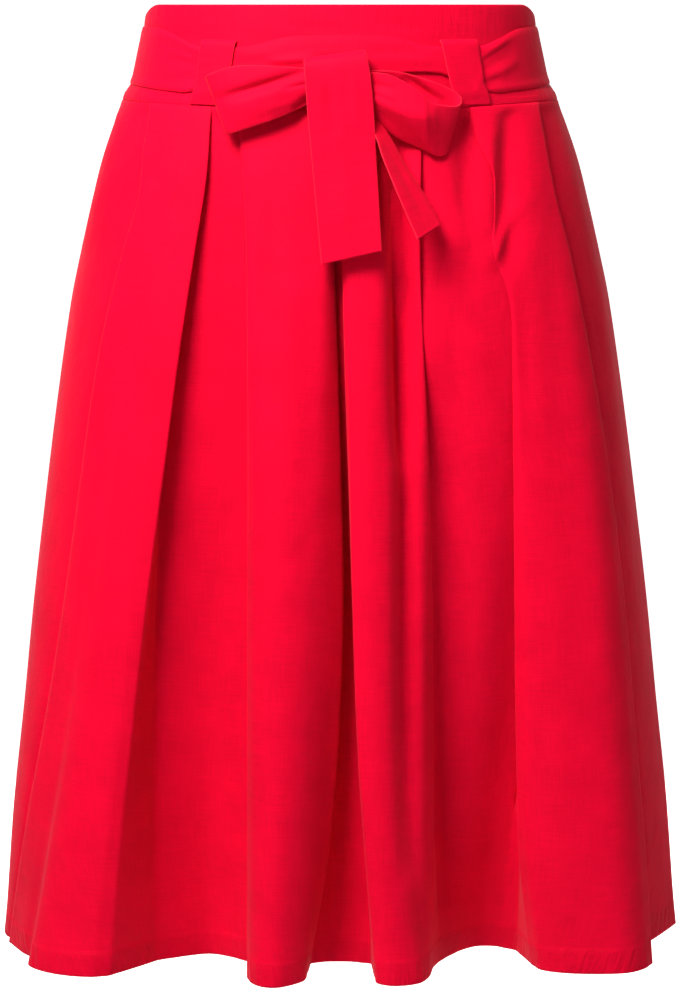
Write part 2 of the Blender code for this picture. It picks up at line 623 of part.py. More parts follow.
def sash_rows():
    angles = [r.angle for r in SASH_EDGES]
    rows = []
    for i in range(SASH_ROWS):
        share = i / (SASH_ROWS - 1)
        row = []
        for j in range(SASH_COLUMNS):
            turn = 360.0 * j / SASH_COLUMNS
            off = turn if turn <= 180.0 else 360.0 - turn
            top = look_up(angles, [r.top for r in SASH_EDGES], off)
            bottom = look_up(angles, [r.bottom for r in SASH_EDGES], off)
            gather = look_up(angles, [r.gather for r in SASH_EDGES], off)
            z = top + (bottom - top) * share
            fold = SASH_FOLD * gather * (i % 2)
            out = SASH_CLEAR + SASH_WALL / 2 + fold
            angle = math.radians(turn)
            x, y = ring_offset(band_ring(z, angle), angle, out)
            row.append((x, y, z))
        rows.append(row)
    return rows


def carrier_rows(carrier):
    top_z, bottom_z = CARRIER_ROWS[0].z, CARRIER_ROWS[-1].z
    rows = []
    for level in CARRIER_ROWS:
        share = (level.z - top_z) / (bottom_z - top_z)
        start = carrier.top_from + (carrier.bottom_from - carrier.top_from) * share
        end = carrier.top_to + (carrier.bottom_to - carrier.top_to) * share
        row = []
        for j in range(CARRIER_COLUMNS):
            angle = math.radians(start + (end - start) * j / (CARRIER_COLUMNS - 1))
            z = level.z * seam_height(angle) / WAIST_SEAM_Z
            x, y = ring_offset(band_ring(z, angle), angle, level.out)
            row.append((x, y, z))
        rows.append(row)
    return rows


def strip_rows(table):
    """Smooth strip through the rows of a table."""
    stations = list(range(len(table)))
    rows = []
    for i in range((len(table) - 1) * STRIP_STEPS + 1):
        s = i / STRIP_STEPS
        ax, ay, az, bx, by, bz, belly = [
            look_up(stations, [row[k] for row in table], s) for k in range(7)]
        row = []
        for j in range(STRIP_COLUMNS):
            v = j / (STRIP_COLUMNS - 1)
            forward = belly * 4.0 * v * (1.0 - v)
            row.append((ax + (bx - ax) * v, ay + (by - ay) * v - forward, az + (bz - az) * v))
        rows.append(row)
    return rows


def add_knot(material):
    bpy.ops.mesh.primitive_uv_sphere_add(segments=KNOT_SEGMENTS, ring_count=KNOT_RINGS)
    knot = bpy.context.object
    knot.name = "bow_knot"
    knot.data.name = "bow_knot"
    for vertex in knot.data.vertices:
        x, y, z = vertex.co
        turn = math.atan2(z, y)
        size = 1.0 - KNOT_FOLD_DEPTH * (1.0 - abs(x)) * (1.0 - math.cos(KNOT_FOLDS * turn))
        vertex.co = (
            (KNOT_CENTRE[0] + KNOT_HALF[0] * signed_power(x, KNOT_SQUARENESS)) * MM,
            (KNOT_CENTRE[1] + KNOT_HALF[1] * signed_power(y, KNOT_SQUARENESS) * size) * MM,
            (KNOT_CENTRE[2] + KNOT_HALF[2] * signed_power(z, KNOT_SQUARENESS) * size) * MM)
    knot.data.materials.append(material)
    bpy.ops.object.shade_smooth()
    move_to_collection(knot)
    return knot


def move_to_collection(piece):
    for holder in list(piece.users_collection):
        holder.objects.unlink(piece)
    bpy.data.collections[COLLECTION].objects.link(piece)


def inside_surface(z, angle, gap):
    """Point inside the side seam, off the inner face of the band or the panels."""
    if z > BAND_PROFILE[-1].z:
        ring, inward = band_ring(z, math.pi / 2), BAND_WALL + gap
    else:
        ring, inward = skirt_ring(z), PANEL_WALL / 2 - PLAIN + gap
    return ring_offset(ring, angle, -inward)


def zip_rows():
    rows = []
    for z in ZIP_HEIGHTS:
        ring = skirt_ring(z)
        row = []
        for j in range(ZIP_COLUMNS):
            aside = ZIP_HALF_WIDTH * (2.0 * j / (ZIP_COLUMNS - 1) - 1.0)
            angle = ring_angle(ring, -ring[0], aside)
            x, y = inside_surface(z, angle, ZIP_INSET)
            row.append((x, y, z))
        rows.append(row)
    return rows


def add_slider(material):
    clear = ZIP_INSET + TAPE_WALL / 2 + GAP * 2 + ZIP_SLIDER_SIZE[0] / 2
    x, y = inside_surface(ZIP_SLIDER_Z, -math.pi / 2, clear)
    centre = (x * MM, y * MM, ZIP_SLIDER_Z * MM)
    bpy.ops.mesh.primitive_cube_add(size=1.0, location=centre)
    slider = bpy.context.object
    slider.name = "zip_slider"
    slider.data.name = "zip_slider"
    slider.scale = [side * MM for side in ZIP_SLIDER_SIZE]
    bpy.ops.object.transform_apply(location=False, rotation=False, scale=True)
    bevel = slider.modifiers.new("edges", "BEVEL")
    bevel.width = ZIP_SLIDER_BEVEL * MM
    bevel.segments = 2
    slider.data.materials.append(material)
    move_to_collection(slider)
    return slider


def build():
    clear_scene()
    collection = bpy.data.collections.new(COLLECTION)
    bpy.context.scene.collection.children.link(collection)
    cotton = new_material("skirt_cotton", COTTON_RED, CLOTH_ROUGHNESS)
    band_cotton = new_material("band_cotton", BAND_RED, CLOTH_ROUGHNESS)
    sash_cotton = new_material("sash_cotton", SASH_RED, CLOTH_ROUGHNESS)
    tape = new_material("zip_tape", TAPE_RED, TAPE_ROUGHNESS)
    metal = new_material("zip_metal", METAL_RED, METAL_ROUGHNESS, 0.6)
    front = trim_sides(panel_rows(FRONT_LINES, FRONT_LEVELS), SIDE_GAP)
    back = turn_round(trim_sides(panel_rows(BACK_LINES, BACK_LEVELS), SIDE_GAP))
    add_sheet("skirt_front", front, PANEL_WALL, cotton)
    add_sheet("skirt_back", back, PANEL_WALL, cotton)
    band_front = trim_sides(band_rows(-90.0, 90.0, BAND_COLUMNS), SIDE_GAP)
    band_back = trim_sides(band_rows(90.0, 270.0, BAND_COLUMNS), SIDE_GAP)
    add_sheet("waistband_front", band_front, BAND_WALL, band_cotton)
    add_sheet("waistband_back", band_back, BAND_WALL, band_cotton)
    add_sheet("sash_band", sash_rows(), SASH_WALL, sash_cotton, ring=True)
    for carrier in CARRIERS:
        add_sheet(carrier.node, carrier_rows(carrier), CARRIER_WALL, band_cotton)
    add_knot(sash_cotton)
    add_sheet("bow_loop_left", strip_rows(LOOP_LEFT), RIBBON_WALL, sash_cotton)
    add_sheet("bow_loop_right", strip_rows(LOOP_RIGHT), RIBBON_WALL, sash_cotton)
    add_sheet("sash_tail_front", strip_rows(TAIL_FRONT), RIBBON_WALL, sash_cotton)
    add_sheet("sash_tail_under", strip_rows(TAIL_UNDER), RIBBON_WALL, sash_cotton)
    add_sheet("side_zip", zip_rows(), TAPE_WALL, tape)
    add_slider(metal)


build()
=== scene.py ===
"""A knee-length skirt of red cotton with its waistband, carriers and tied sash, dressed
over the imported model, in the form that it has when worn.

The front faces -Y, +X is to its right as seen from the front and +Z is up. The origin
is the middle of the waist. The tables are in millimetres, and every mesh in metres.
"""

import math
from collections import namedtuple

import bpy
import numpy as np
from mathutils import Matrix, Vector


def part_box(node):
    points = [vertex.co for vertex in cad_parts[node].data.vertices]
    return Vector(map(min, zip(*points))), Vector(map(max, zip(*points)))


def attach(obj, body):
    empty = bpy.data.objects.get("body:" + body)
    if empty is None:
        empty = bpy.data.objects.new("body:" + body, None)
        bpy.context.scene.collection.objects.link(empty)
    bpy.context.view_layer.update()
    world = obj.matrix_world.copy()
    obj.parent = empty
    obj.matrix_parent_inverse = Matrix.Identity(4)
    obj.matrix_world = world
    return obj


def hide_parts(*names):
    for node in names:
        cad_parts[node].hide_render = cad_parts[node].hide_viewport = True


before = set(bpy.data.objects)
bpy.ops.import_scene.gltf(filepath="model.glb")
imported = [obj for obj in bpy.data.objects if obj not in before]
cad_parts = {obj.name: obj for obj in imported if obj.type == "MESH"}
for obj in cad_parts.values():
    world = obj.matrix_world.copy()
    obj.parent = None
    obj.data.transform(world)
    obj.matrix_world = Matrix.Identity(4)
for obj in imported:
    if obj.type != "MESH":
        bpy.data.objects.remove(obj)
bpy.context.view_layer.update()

# ------------------------------------------------------------------------------------
# Front panel. One flared width of plain-woven cotton with a fine slub. It is folded into
# four box pleats that are held flat in the waist seam and fall open towards the hem, and
# its lower edge is turned up inside and stitched.
MM = 0.001
PANEL_WALL = 0.5
SEAM_Z, HEM_Z = -71.1, -679.0
SEAM_SIDE_RISE = 4.7
SEAM_HALF_WIDTH, SEAM_HALF_DEPTH, SEAM_POWER = 155.7, 106.5, 2.2
HEM_HALF_WIDTH, HEM_HALF_DEPTH, HEM_POWER = 249.0, 163.0, 2.5
SEAM_QUARTER, SEAM_STEPS = 213.9, 720
HEM_TURN_UP, HEM_TURN_RADIUS, HEM_BLEND = 16.5, 0.65, 0.8

# The cloth goes up inside the waist seam, where it is pressed flat and pinched in, and it
# leans in a little below. A reach is how far down the seam is felt.
SEAM_TUCK, PANEL_LEAN = 4.5, 0.3
SEAM_PRESS, SEAM_PRESS_REACH = 0.88, 6.0
SEAM_PINCH, SEAM_PINCH_REACH = 1.25, 0.9
FOLD_RADIUS, FOLD_OPENING = 0.45, 3.0
FIRST_LEVELS, NEXT_LEVEL = [0.0, 0.0009, 0.0018, 0.003], 0.0045
LEVEL_STEP, LEVEL_STEP_MORE = 0.0023, 0.0067
CREASES_FROM, CREASES_GROW = 3.0, 9.0

Flare = namedtuple("Flare", "z half_width")
FLARE = [
    Flare(-66, 155.7), Flare(-82, 162.3), Flare(-110, 171.9), Flare(-139, 179.3),
    Flare(-175, 187.6), Flare(-211, 195.1), Flare(-284, 206), Flare(-357, 215.5),
    Flare(-430, 224.4), Flare(-505, 232.2), Flare(-579, 240.4), Flare(-655, 246.5),
    Flare(-679, 249),
]

# Depth of each folded layer from the outline at the waist seam.
FACE = 0.5
EDGE = -0.1
RETURN = -0.8
INNER = -1.5
FLOOR = -2.2
PLAIN = -0.7

# One row for each line that runs down a panel: how far round the waist seam it starts,
# its layer there, where it meets the hem, how late its fold opens, and how wide a turn
# the cloth makes where it goes back on itself.
Line = namedtuple("Line", "name seam layer hem_x hem_y late turn", defaults=[0.0])
FRONT_LINES = [
    Line("side_left", -213.9, PLAIN, -248.3, -2, 1),
    Line("side_left_a", -198, -1.4, -248, -7, 1),
    Line("side_left_b", -174, -2, -246.8, -13, 1),
    Line("side_left_c", -152, -3, -244.5, -20, 1),
    Line("side_left_d", -132, FLOOR, -240, -26, 1),
    Line("b_inner", -115, INNER, -231, -29, 1, 2),
    Line("b_return", -129, RETURN, -236.5, -32, 1),
    Line("b_edge", -142.5, EDGE, -242, -36, 1, 1),
    Line("b_dip", -137, FACE, -229.5, -66, 4),
    Line("b_tuck", -132, FACE, -221.5, -81, 5),
    Line("b_ridge", -127, FACE, -222.5, -100, 2),
    Line("bc_face_a", -120.5, FACE, -210, -117, 1.2),
    Line("bc_face_b", -112.5, FACE, -192, -128, 1.2),
    Line("bc_face_c", -102, FACE, -174, -131.3, 1.2),
    Line("c_edge", -90, EDGE, -163, -128, 1.2, 1.6),
    Line("c_return", -101.5, RETURN, -150, -112, 1.1),
    Line("c_inner", -113, INNER, -130, -86, 1.1, 4),
    Line("cd_floor_a", -98, FLOOR, -114, -76.5, 1.1),
    Line("cd_floor_b", -80, FLOOR, -94, -68.8, 1.1),
    Line("cd_floor_c", -60, FLOOR, -79, -77, 1.1),
    Line("d_inner", -48, INNER, -64.5, -92, 1.1, 2),
    Line("d_return", -59, RETURN, -65.5, -113, 1.1),
    Line("d_edge", -71, EDGE, -65.5, -134, 1.1, 1),
    Line("de_face_a", -63, FACE, -62.5, -146.5, 1.2),
    Line("de_face_b", -52, FACE, -55.5, -157, 1.2),
    Line("de_face_c", -38, FACE, -45, -160, 1.2),
    Line("de_face_d", -24, FACE, -34, -153, 1.2),
    Line("de_ridge", -13, FACE, -25, -141, 1.2),
    Line("e_edge", -4, EDGE, -22.8, -119, 0.85, 2),
    Line("e_return", -16.5, RETURN, -22, -107, 0.9),
    Line("e_inner", -29, INNER, -20.5, -95.5, 0.95, 2),
    Line("ef_floor_a", -15, FLOOR, -10, -90.5, 0.95),
    Line("ef_floor_b", 8, FLOOR, 8, -90.5, 0.95),
    Line("f_inner", 28, INNER, 22, -96, 0.95, 2),
    Line("f_return", 15, RETURN, 23.2, -112, 1),
    Line("f_edge", 2.2, EDGE, 24, -129, 1.1, 2.6),
    Line("fg_face_a", 8, FACE, 26, -148.5, 1.2),
    Line("fg_face_b", 18, FACE, 36, -155, 1.2),
    Line("fg_face_c", 28, FACE, 48, -153, 1.2),
    Line("fg_ridge", 36.5, FACE, 57, -146.5, 1.2),
    Line("fg_groove", 43, FACE, 60.5, -139, 0.8),
    Line("fg_strip", 50, FACE, 63.5, -129, 1.4),
    Line("g_edge", 57, EDGE, 66.3, -107, 1.6, 1.5),
    Line("g_return", 44.5, RETURN, 71, -91, 1.4),
    Line("g_inner", 32, INNER, 77.5, -77, 1.7, 4),
    Line("gi_floor_a", 55, FLOOR, 87, -60.5, 1.9),
    Line("gi_floor_b", 80, FLOOR, 100, -47.8, 1.9),
    Line("gi_floor_c", 98, FLOOR, 113.5, -48, 1.9),
    Line("i_inner", 116, INNER, 127, -59, 1.7, 3),
    Line("i_return", 104, RETURN, 132.5, -79, 1.4),
    Line("i_edge", 92.5, EDGE, 136.8, -98, 1.2, 1.5),
    Line("ij_face_a", 99, FACE, 142.5, -112.5, 1.2),
    Line("ij_face_b", 111, FACE, 157, -120.5, 1.2),
    Line("ij_face_c", 125, FACE, 180, -123.5, 1.2),
    Line("ij_face_d", 138, FACE, 204, -120.5, 1.2),
    Line("ij_face_e", 146.5, FACE, 217, -109, 1.2),
    Line("j_edge", 152.3, EDGE, 223.5, -95, 1.2, 1),
    Line("j_return", 138, RETURN, 219, -72, 1.1),
    Line("j_inner", 124, INNER, 213, -50, 1.1, 2),
    Line("side_right_d", 141, FLOOR, 219.5, -42, 1.1),
    Line("side_right_c", 159, -3, 227.5, -32, 1.1),
    Line("side_right_b", 179, -2, 236, -15, 1.1),
    Line("side_right_a", 198, -1.4, 243.5, 1.5, 1),
    Line("side_right", 213.9, PLAIN, 250.6, 18, 1),
]

# How far from the centre front each fold edge hangs at these heights. Two edges are
# followed more closely under the waist. No edge comes right out to the side.
FURTHEST_REACH = 0.995
COURSE_LEVELS = (-120, -170, -240, -320, -420, -520, -600)
COURSES = {
    "b_edge": (-139.8, -151.2, -167.3, -181.1, -196.5, -214, -229),
    "c_edge": (-93.3, -101.3, -111.8, -122.5, -136, -147.6, -156.5),
    "d_edge": (-66.5, -64.5, -64, -64, -64.2, -64.5, -65),
    "de_ridge": (-11, -10, -11.5, -13.5, -16, -18.5, -21.4),
    "e_edge": (-4.3, -4.2, -2, 0.6, 2.4, -1.5, -9),
    "f_edge": (1.2, 1.6, 3.2, 5.8, 9, 13.2, 18.4),
    "fg_ridge": (36.5, 37, 36, 34.5, 35.5, 39.5, 46.9),
    "fg_groove": (43, 43, 43, 43.5, 44, 47, 52.5),
    "fg_strip": (50, 51, 52.5, 55.5, 57, 58, 59.5),
    "g_edge": (56.8, 57.5, 60.5, 65.5, 69.5, 69.5, 68),
}
EDGE_COURSES = {name: list(zip(COURSE_LEVELS, course)) for name, course in COURSES.items()}
EDGE_COURSES["i_edge"] = [
    (-95, 97.5), (-118, 106.7), (-145, 106.8), (-170, 105.3), (-190, 114), (-210, 118.3),
    (-240, 119.5), (-320, 121.5), (-420, 122.8), (-520, 124.6), (-600, 127.5)]
EDGE_COURSES["j_edge"] = [
    (-120, 149), (-145, 154.7), (-170, 161.2), (-205, 168.5), (-240, 175.5),
    (-320, 189.4), (-420, 201.8), (-520, 211), (-600, 218)]


def look_up(xs, ys, x):
    """Smooth curve through a table, read at x. xs rise or fall steadily."""
    if xs[0] > xs[-1]:
        xs = [-v for v in xs]
        x = -x
    if x <= xs[0]:
        return ys[0]
    if x >= xs[-1]:
        return ys[-1]
    i = max(k for k in range(len(xs) - 1) if xs[k] <= x)
    before, after = max(i - 1, 0), min(i + 2, len(xs) - 1)
    width = xs[i + 1] - xs[i]
    slope_a = (ys[i + 1] - ys[before]) / (xs[i + 1] - xs[before]) * width
    slope_b = (ys[after] - ys[i]) / (xs[after] - xs[i]) * width
    u = (x - xs[i]) / width
    return (ys[i] * (2 * u**3 - 3 * u**2 + 1) + slope_a * (u**3 - 2 * u**2 + u)
            + ys[i + 1] * (3 * u**2 - 2 * u**3) + slope_b * (u**3 - u**2))


def table_at(table, column, place):
    """One column of a table, read smoothly at a place in its first column."""
    return look_up([row[0] for row in table], [getattr(row, column) for row in table], place)


def unit(value):
    return min(max(value, 0.0), 1.0)


def signed_power(value, power):
    return math.copysign(abs(value) ** power, value)


def skirt_ring(z):
    """Half width, half depth and squareness of the skirt's outline at a height."""
    width = table_at(FLARE, "half_width", z)
    g = unit((width - SEAM_HALF_WIDTH) / (HEM_HALF_WIDTH - SEAM_HALF_WIDTH))
    return (width, SEAM_HALF_DEPTH + (HEM_HALF_DEPTH - SEAM_HALF_DEPTH) * g,
            SEAM_POWER + (HEM_POWER - SEAM_POWER) * g)


def ring_point(ring, angle):
    """Point of an outline at an angle from the front, turning to the right."""
    half_width, half_depth, power = ring
    return (half_width * signed_power(math.sin(angle), 2.0 / power),
            -half_depth * signed_power(math.cos(angle), 2.0 / power))


def ring_offset(ring, angle, out, nudge=0.026):
    """The same point, moved straight out of the outline. nudge is the angle to the points
    on both sides that give the outline's direction."""
    xa, ya = ring_point(ring, angle - nudge)
    xb, yb = ring_point(ring, angle + nudge)
    size = math.hypot(xb - xa, yb - ya)
    x, y = ring_point(ring, angle)
    return x + (yb - ya) / size * out, y - (xb - xa) / size * out


def ring_angle(ring, x, y):
    half_width, half_depth, power = ring
    return math.atan2(signed_power(x / half_width, power / 2.0),
                      signed_power(-y / half_depth, power / 2.0))


def seam_angle(distance):
    """Angle at a distance round the waist seam from the middle of the panel."""
    if abs(abs(distance) - SEAM_QUARTER) < 0.01:
        return math.copysign(math.pi / 2, distance)
    ring = (SEAM_HALF_WIDTH, SEAM_HALF_DEPTH, SEAM_POWER)
    walked, last = 0.0, ring_point(ring, 0.0)
    for i in range(1, SEAM_STEPS + 1):
        here = ring_point(ring, math.pi * i / SEAM_STEPS)
        length = math.hypot(here[0] - last[0], here[1] - last[1])
        if walked + length >= abs(distance):
            share = (abs(distance) - walked) / length
            return math.copysign(math.pi * (i - 1 + share) / SEAM_STEPS, distance)
        walked, last = walked + length, here
    return math.copysign(math.pi, distance)


def seam_height(angle):
    return SEAM_Z + SEAM_SIDE_RISE * math.sin(angle) ** 2


def line_turns(lines, starts, ends, share, zs):
    """Turn of every line round the skirt: known at the measured edges, and shared out
    between them."""
    free = [a + (b - a) * share for a, b in zip(starts, ends)]
    known = {0: 0.0, len(lines) - 1: 0.0}
    names = [line.name for line in lines]
    for i, line in enumerate(lines):
        if line.name in EDGE_COURSES:
            ring = skirt_ring(zs[i])
            seam_x = ring_point(skirt_ring(SEAM_Z), starts[i])[0]
            course = [(SEAM_Z, seam_x)] + EDGE_COURSES[line.name] + [(HEM_Z, line.hem_x)]
            wanted = look_up(*zip(*course), zs[i])
            reach = (wanted - hem_shift(line, share)[0]) / ring[0]
            reach = min(max(reach, -FURTHEST_REACH), FURTHEST_REACH)
            known[i] = math.asin(signed_power(reach, ring[2] / 2.0)) - free[i]
    for i, line in enumerate(lines):
        if line.name.endswith("_inner"):
            known[i] = known.get(names.index(line.name.replace("_inner", "_edge")), 0.0)
    places = sorted(known)
    return np.interp(range(len(lines)), places, [known[k] for k in places]) + free


def hem_shift(line, share):
    """How far a line has swung off the smooth outline at a level."""
    hem = skirt_ring(HEM_Z)
    x, y = ring_point(hem, ring_angle(hem, line.hem_x, line.hem_y))
    opened = share ** line.late
    return (line.hem_x - x) * opened, (line.hem_y - y) * opened


def fold_points(tip, before, after, radius, straight=0.05, sharpest=0.2):
    """Three points that carry the cloth round a fold. A fold that goes straight on has no
    inside, and a sharper one than sharpest is rounded as that one."""
    u = np.subtract(before, tip) / np.linalg.norm(np.subtract(before, tip))
    v = np.subtract(after, tip) / np.linalg.norm(np.subtract(after, tip))
    middle = u + v
    if np.linalg.norm(middle) < straight:
        middle = np.array((-u[1], u[0]))
    middle /= np.linalg.norm(middle)
    side = np.array((-middle[1], middle[0]))
    if side @ u < 0:
        side = -side
    angle = math.acos(min(max(float(u @ v), -1.0), 1.0))
    pull = min(1.0, 1.0 / math.tan(max(angle, sharpest) / 2.0)) * radius
    tip = np.array(tip)
    return [tip + middle * pull + side * radius, tip, tip + middle * pull - side * radius]


def run_through(points, places):
    """Smooth line through points, read at places counted in points. It turns sharply
    where they are close together."""
    p = np.vstack([2 * points[0] - points[1], points, 2 * points[-1] - points[-2]])
    knots = np.concatenate([[0.0], np.cumsum(
        np.sqrt(np.linalg.norm(np.diff(p, axis=0), axis=1)) + 1e-6)])
    k = np.minimum(places.astype(int), len(points) - 2)
    a, b, c, d = p[k], p[k + 1], p[k + 2], p[k + 3]
    ta, tb, tc, td = (knots[k + n][:, None] for n in range(4))
    t = tb + (tc - tb) * (places - k)[:, None]
    ab = a * (tb - t) / (tb - ta) + b * (t - ta) / (tb - ta)
    bc = b * (tc - t) / (tc - tb) + c * (t - tb) / (tc - tb)
    cd = c * (td - t) / (td - tc) + d * (t - tc) / (td - tc)
    abc = ab * (tc - t) / (tc - ta) + bc * (t - ta) / (tc - ta)
    bcd = bc * (td - t) / (td - tb) + cd * (t - tb) / (td - tb)
    return abc * (tc - t) / (tc - tb) + bcd * (t - tb) / (tc - tb)


def panel_level(lines, starts, ends, share, rise):
    """Points of one level of a panel. rise lifts it into the waist seam."""
    tops = [seam_height(a) for a in starts]
    zs = [top + (HEM_Z - top) * share + rise for top in tops]
    angles = line_turns(lines, starts, ends, share, zs)
    below = max((SEAM_Z - HEM_Z) * share - rise, 0.0)
    flat = 1.0 - SEAM_PRESS * math.exp(-((below / SEAM_PRESS_REACH) ** 2))
    tuck = (-SEAM_PINCH * math.exp(-((below / SEAM_PINCH_REACH) ** 2))
            - PANEL_LEAN * flat * (1.0 - share))
    points = []
    for line, z, angle in zip(lines, zs, angles):
        layer = line.layer * (1.0 - share) * flat + tuck
        x, y = ring_offset(skirt_ring(z), angle, layer)
        dx, dy = hem_shift(line, share)
        points.append((x + dx, y + dy))
    row = []
    for i, line in enumerate(lines):
        if line.turn > 0.0:
            radius = (FOLD_RADIUS + FOLD_OPENING * line.turn * share**1.5) * flat
            row += [(*p, zs[i]) for p in
                    fold_points(points[i], points[i - 1], points[i + 1], radius)]
        else:
            row.append((*points[i], zs[i]))
    return np.array(row)


def panel_shares():
    """Levels of the cloth, closer together near the waist and above the hem."""
    shares, share = list(FIRST_LEVELS), NEXT_LEVEL
    while share < 1.0:
        spread = math.sin(math.pi * min(share + 0.01, 0.99)) ** 0.7
        share += LEVEL_STEP + LEVEL_STEP_MORE * spread
        shares.append(share)
    return [s / shares[-1] for s in shares]


def panel_grid(lines, spacing):
    """The whole panel as rows of points, from inside the waist seam to the hem."""
    starts = [seam_angle(line.seam) for line in lines]
    hem = skirt_ring(HEM_Z)
    ends = [ring_angle(hem, line.hem_x, line.hem_y) for line in lines]
    hem_row = panel_level(lines, starts, ends, 1.0, 0.0)
    gaps = np.linalg.norm(np.diff(hem_row, axis=0), axis=1)
    counts = np.maximum(np.ceil(gaps / spacing).astype(int), 2)
    places = np.concatenate([k + np.arange(n) / n for k, n in enumerate(counts)]
                            + [[len(counts)]])
    levels = [(0.0, SEAM_TUCK), (0.0, SEAM_TUCK / 2)] + [(s, 0.0) for s in panel_shares()]
    return np.array([run_through(panel_level(lines, starts, ends, share, rise), places)
                     for share, rise in levels])


def away(grid):
    """Level direction away from the middle of the waist. A crease moves every layer of a
    fold the same way along it."""
    level = grid * (1.0, 1.0, 0.0)
    return level / np.linalg.norm(level, axis=2, keepdims=True)


def out_of(grid):
    """Direction out of the cloth at every point of a grid."""
    across = np.gradient(grid, axis=1)
    down = np.gradient(grid, axis=0)
    normal = np.cross(down, across)
    return normal / np.maximum(np.linalg.norm(normal, axis=2, keepdims=True), 1e-9)


# A soft crease, as seen from the front: a trough where depth is over 0, else a ridge.
# steep narrows the side on its left as it is followed from a to b.
Crease = namedtuple("Crease", "ax az bx bz width depth steep", defaults=[1.0])


def settled(panel):
    """How far the creases of a panel have come out of the waist seam."""
    return np.clip((SEAM_Z + CREASES_FROM - panel[..., 2]) / CREASES_GROW, 0.0, 1.0)


def creased(x, z, creases):
    """How deep the creases go at each place. Each one fades out at its ends."""
    depth = np.zeros_like(x)
    for c in creases:
        dx, dz = c.bx - c.ax, c.bz - c.az
        length = math.hypot(dx, dz)
        along = ((x - c.ax) * dx + (z - c.az) * dz) / length**2
        across = ((x - c.ax) * dz - (z - c.az) * dx) / length
        body = np.sin(np.pi * np.clip(along, 0.0, 1.0)) ** 0.7
        width = np.where(across < 0.0, c.width * c.steep, c.width)
        depth += c.depth * body * np.exp(-((across / width) ** 2))
    return depth


def turned_up(grid):
    """Adds the turned-up hem inside the last row of a grid."""
    out = out_of(grid)[-1]
    edge = grid[-1]
    down = edge - grid[-2]
    down /= np.linalg.norm(down, axis=1, keepdims=True)
    rows = []
    for degrees in (45.0, 90.0, 135.0, 180.0):
        a = math.radians(degrees)
        rows.append(edge + (down * math.sin(a) - out * (1.0 - math.cos(a))) * HEM_TURN_RADIUS)
    inside = edge - out * 2.0 * HEM_TURN_RADIUS
    for share in (0.15, 0.4, 0.7, 1.0):
        rows.append(inside - down * HEM_TURN_UP * share)
    return np.concatenate([grid, np.array(rows)])


def lengths(grid, axis):
    """Distance along the cloth from its first row or column."""
    steps = np.linalg.norm(np.diff(grid, axis=axis), axis=2)
    start = np.zeros_like(np.take(steps, [0], axis=axis))
    return np.concatenate([start, np.cumsum(steps, axis=axis)], axis=axis)


def cut_map(grid):
    """Place of every point in the flat cut: across from its middle, and down."""
    across = lengths(grid, 1)
    across = across - across[:, -1:] / 2
    return np.stack([across, -lengths(grid, 0)], axis=2) * MM


def new_piece(name, points, faces, cut=None, marks=()):
    """Smooth piece through points in millimetres, with the flat cut of its corners as UV
    map, and with marks, which are pairs of a name and one value for each point."""
    mesh = bpy.data.meshes.new(name)
    mesh.from_pydata((points * MM).tolist(), [], faces)
    if cut is not None:
        mesh.uv_layers.new(name="cut").data.foreach_set("uv", cut.ravel())
    for mark, values in marks:
        shade = mesh.attributes.new(mark, "FLOAT", "POINT")
        shade.data.foreach_set("value", values.ravel().astype(np.float32))
    mesh.polygons.foreach_set("use_smooth", [True] * len(mesh.polygons))
    piece = bpy.data.objects.new(name, mesh)
    bpy.context.scene.collection.objects.link(piece)
    return piece


def cloth_piece(name, grid, wall, doubled=0.0):
    """Cloth through a grid of points, with its wall. It is marked where it is doubled."""
    high, wide = grid.shape[:2]
    index = np.arange(high * wide).reshape(high, wide)
    faces = np.stack([index[:-1, :-1], index[1:, :-1], index[1:, 1:], index[:-1, 1:]],
                     axis=2).reshape(-1, 4)
    cut = cut_map(grid).reshape(-1, 2)[faces.reshape(-1)]
    doubled = np.broadcast_to(doubled, (high, wide))
    piece = new_piece(name, grid.reshape(-1, 3), faces.tolist(), cut, [("doubled", doubled)])
    solid = piece.modifiers.new("cloth", "SOLIDIFY")
    solid.thickness = wall * MM
    solid.offset = 0.0
    solid.use_even_offset = False
    return piece


def fasten(piece, material, node=None):
    """Finishes a piece and puts it on the model, mostly in place of a CAD node."""
    piece.data.materials.append(material)
    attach(piece, "root")
    if node:
        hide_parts(node)


class Tone:
    """A socket of a cloth's or a metal's shader, to be used in sums."""

    def __init__(self, tree, socket=None):
        self.tree = tree
        self.socket = socket

    def add(self, kind, settings, values, out=0):
        node = self.tree.nodes.new(kind)
        for name, value in settings.items():
            setattr(node, name, value)
        for name, value in values.items():
            if isinstance(value, Tone):
                self.tree.links.new(value.socket, node.inputs[name])
            else:
                node.inputs[name].default_value = value
        return Tone(self.tree, node.outputs[out])

    def feed(self, socket):
        self.tree.links.new(self.socket, socket)

    def sum(self, operation, first, second):
        return self.add("ShaderNodeMath", {"operation": operation}, {0: first, 1: second})

    def __add__(self, other):
        return self.sum("ADD", self, other)

    def __radd__(self, other):
        return self.sum("ADD", other, self)

    def __sub__(self, other):
        return self.sum("SUBTRACT", self, other)

    def __rsub__(self, other):
        return self.sum("SUBTRACT", other, self)

    def __mul__(self, other):
        return self.sum("MULTIPLY", self, other)

    def __rmul__(self, other):
        return self.sum("MULTIPLY", other, self)


def new_finish(name, values):
    """New material with values on its shader, which comes with a tone to build on."""
    material = bpy.data.materials.new(name)
    material.use_nodes = True
    shader = material.node_tree.nodes["Principled BSDF"]
    for socket, value in values.items():
        shader.inputs[socket].default_value = value
    return material, shader, Tone(material.node_tree)


def two_tone(part, dark, light):
    """Colour between two others, by a part from 0 to 1."""
    return part.add("ShaderNodeMix", {"data_type": "RGBA"},
                    {"Factor": part, 6: dark, 7: light}, 2)


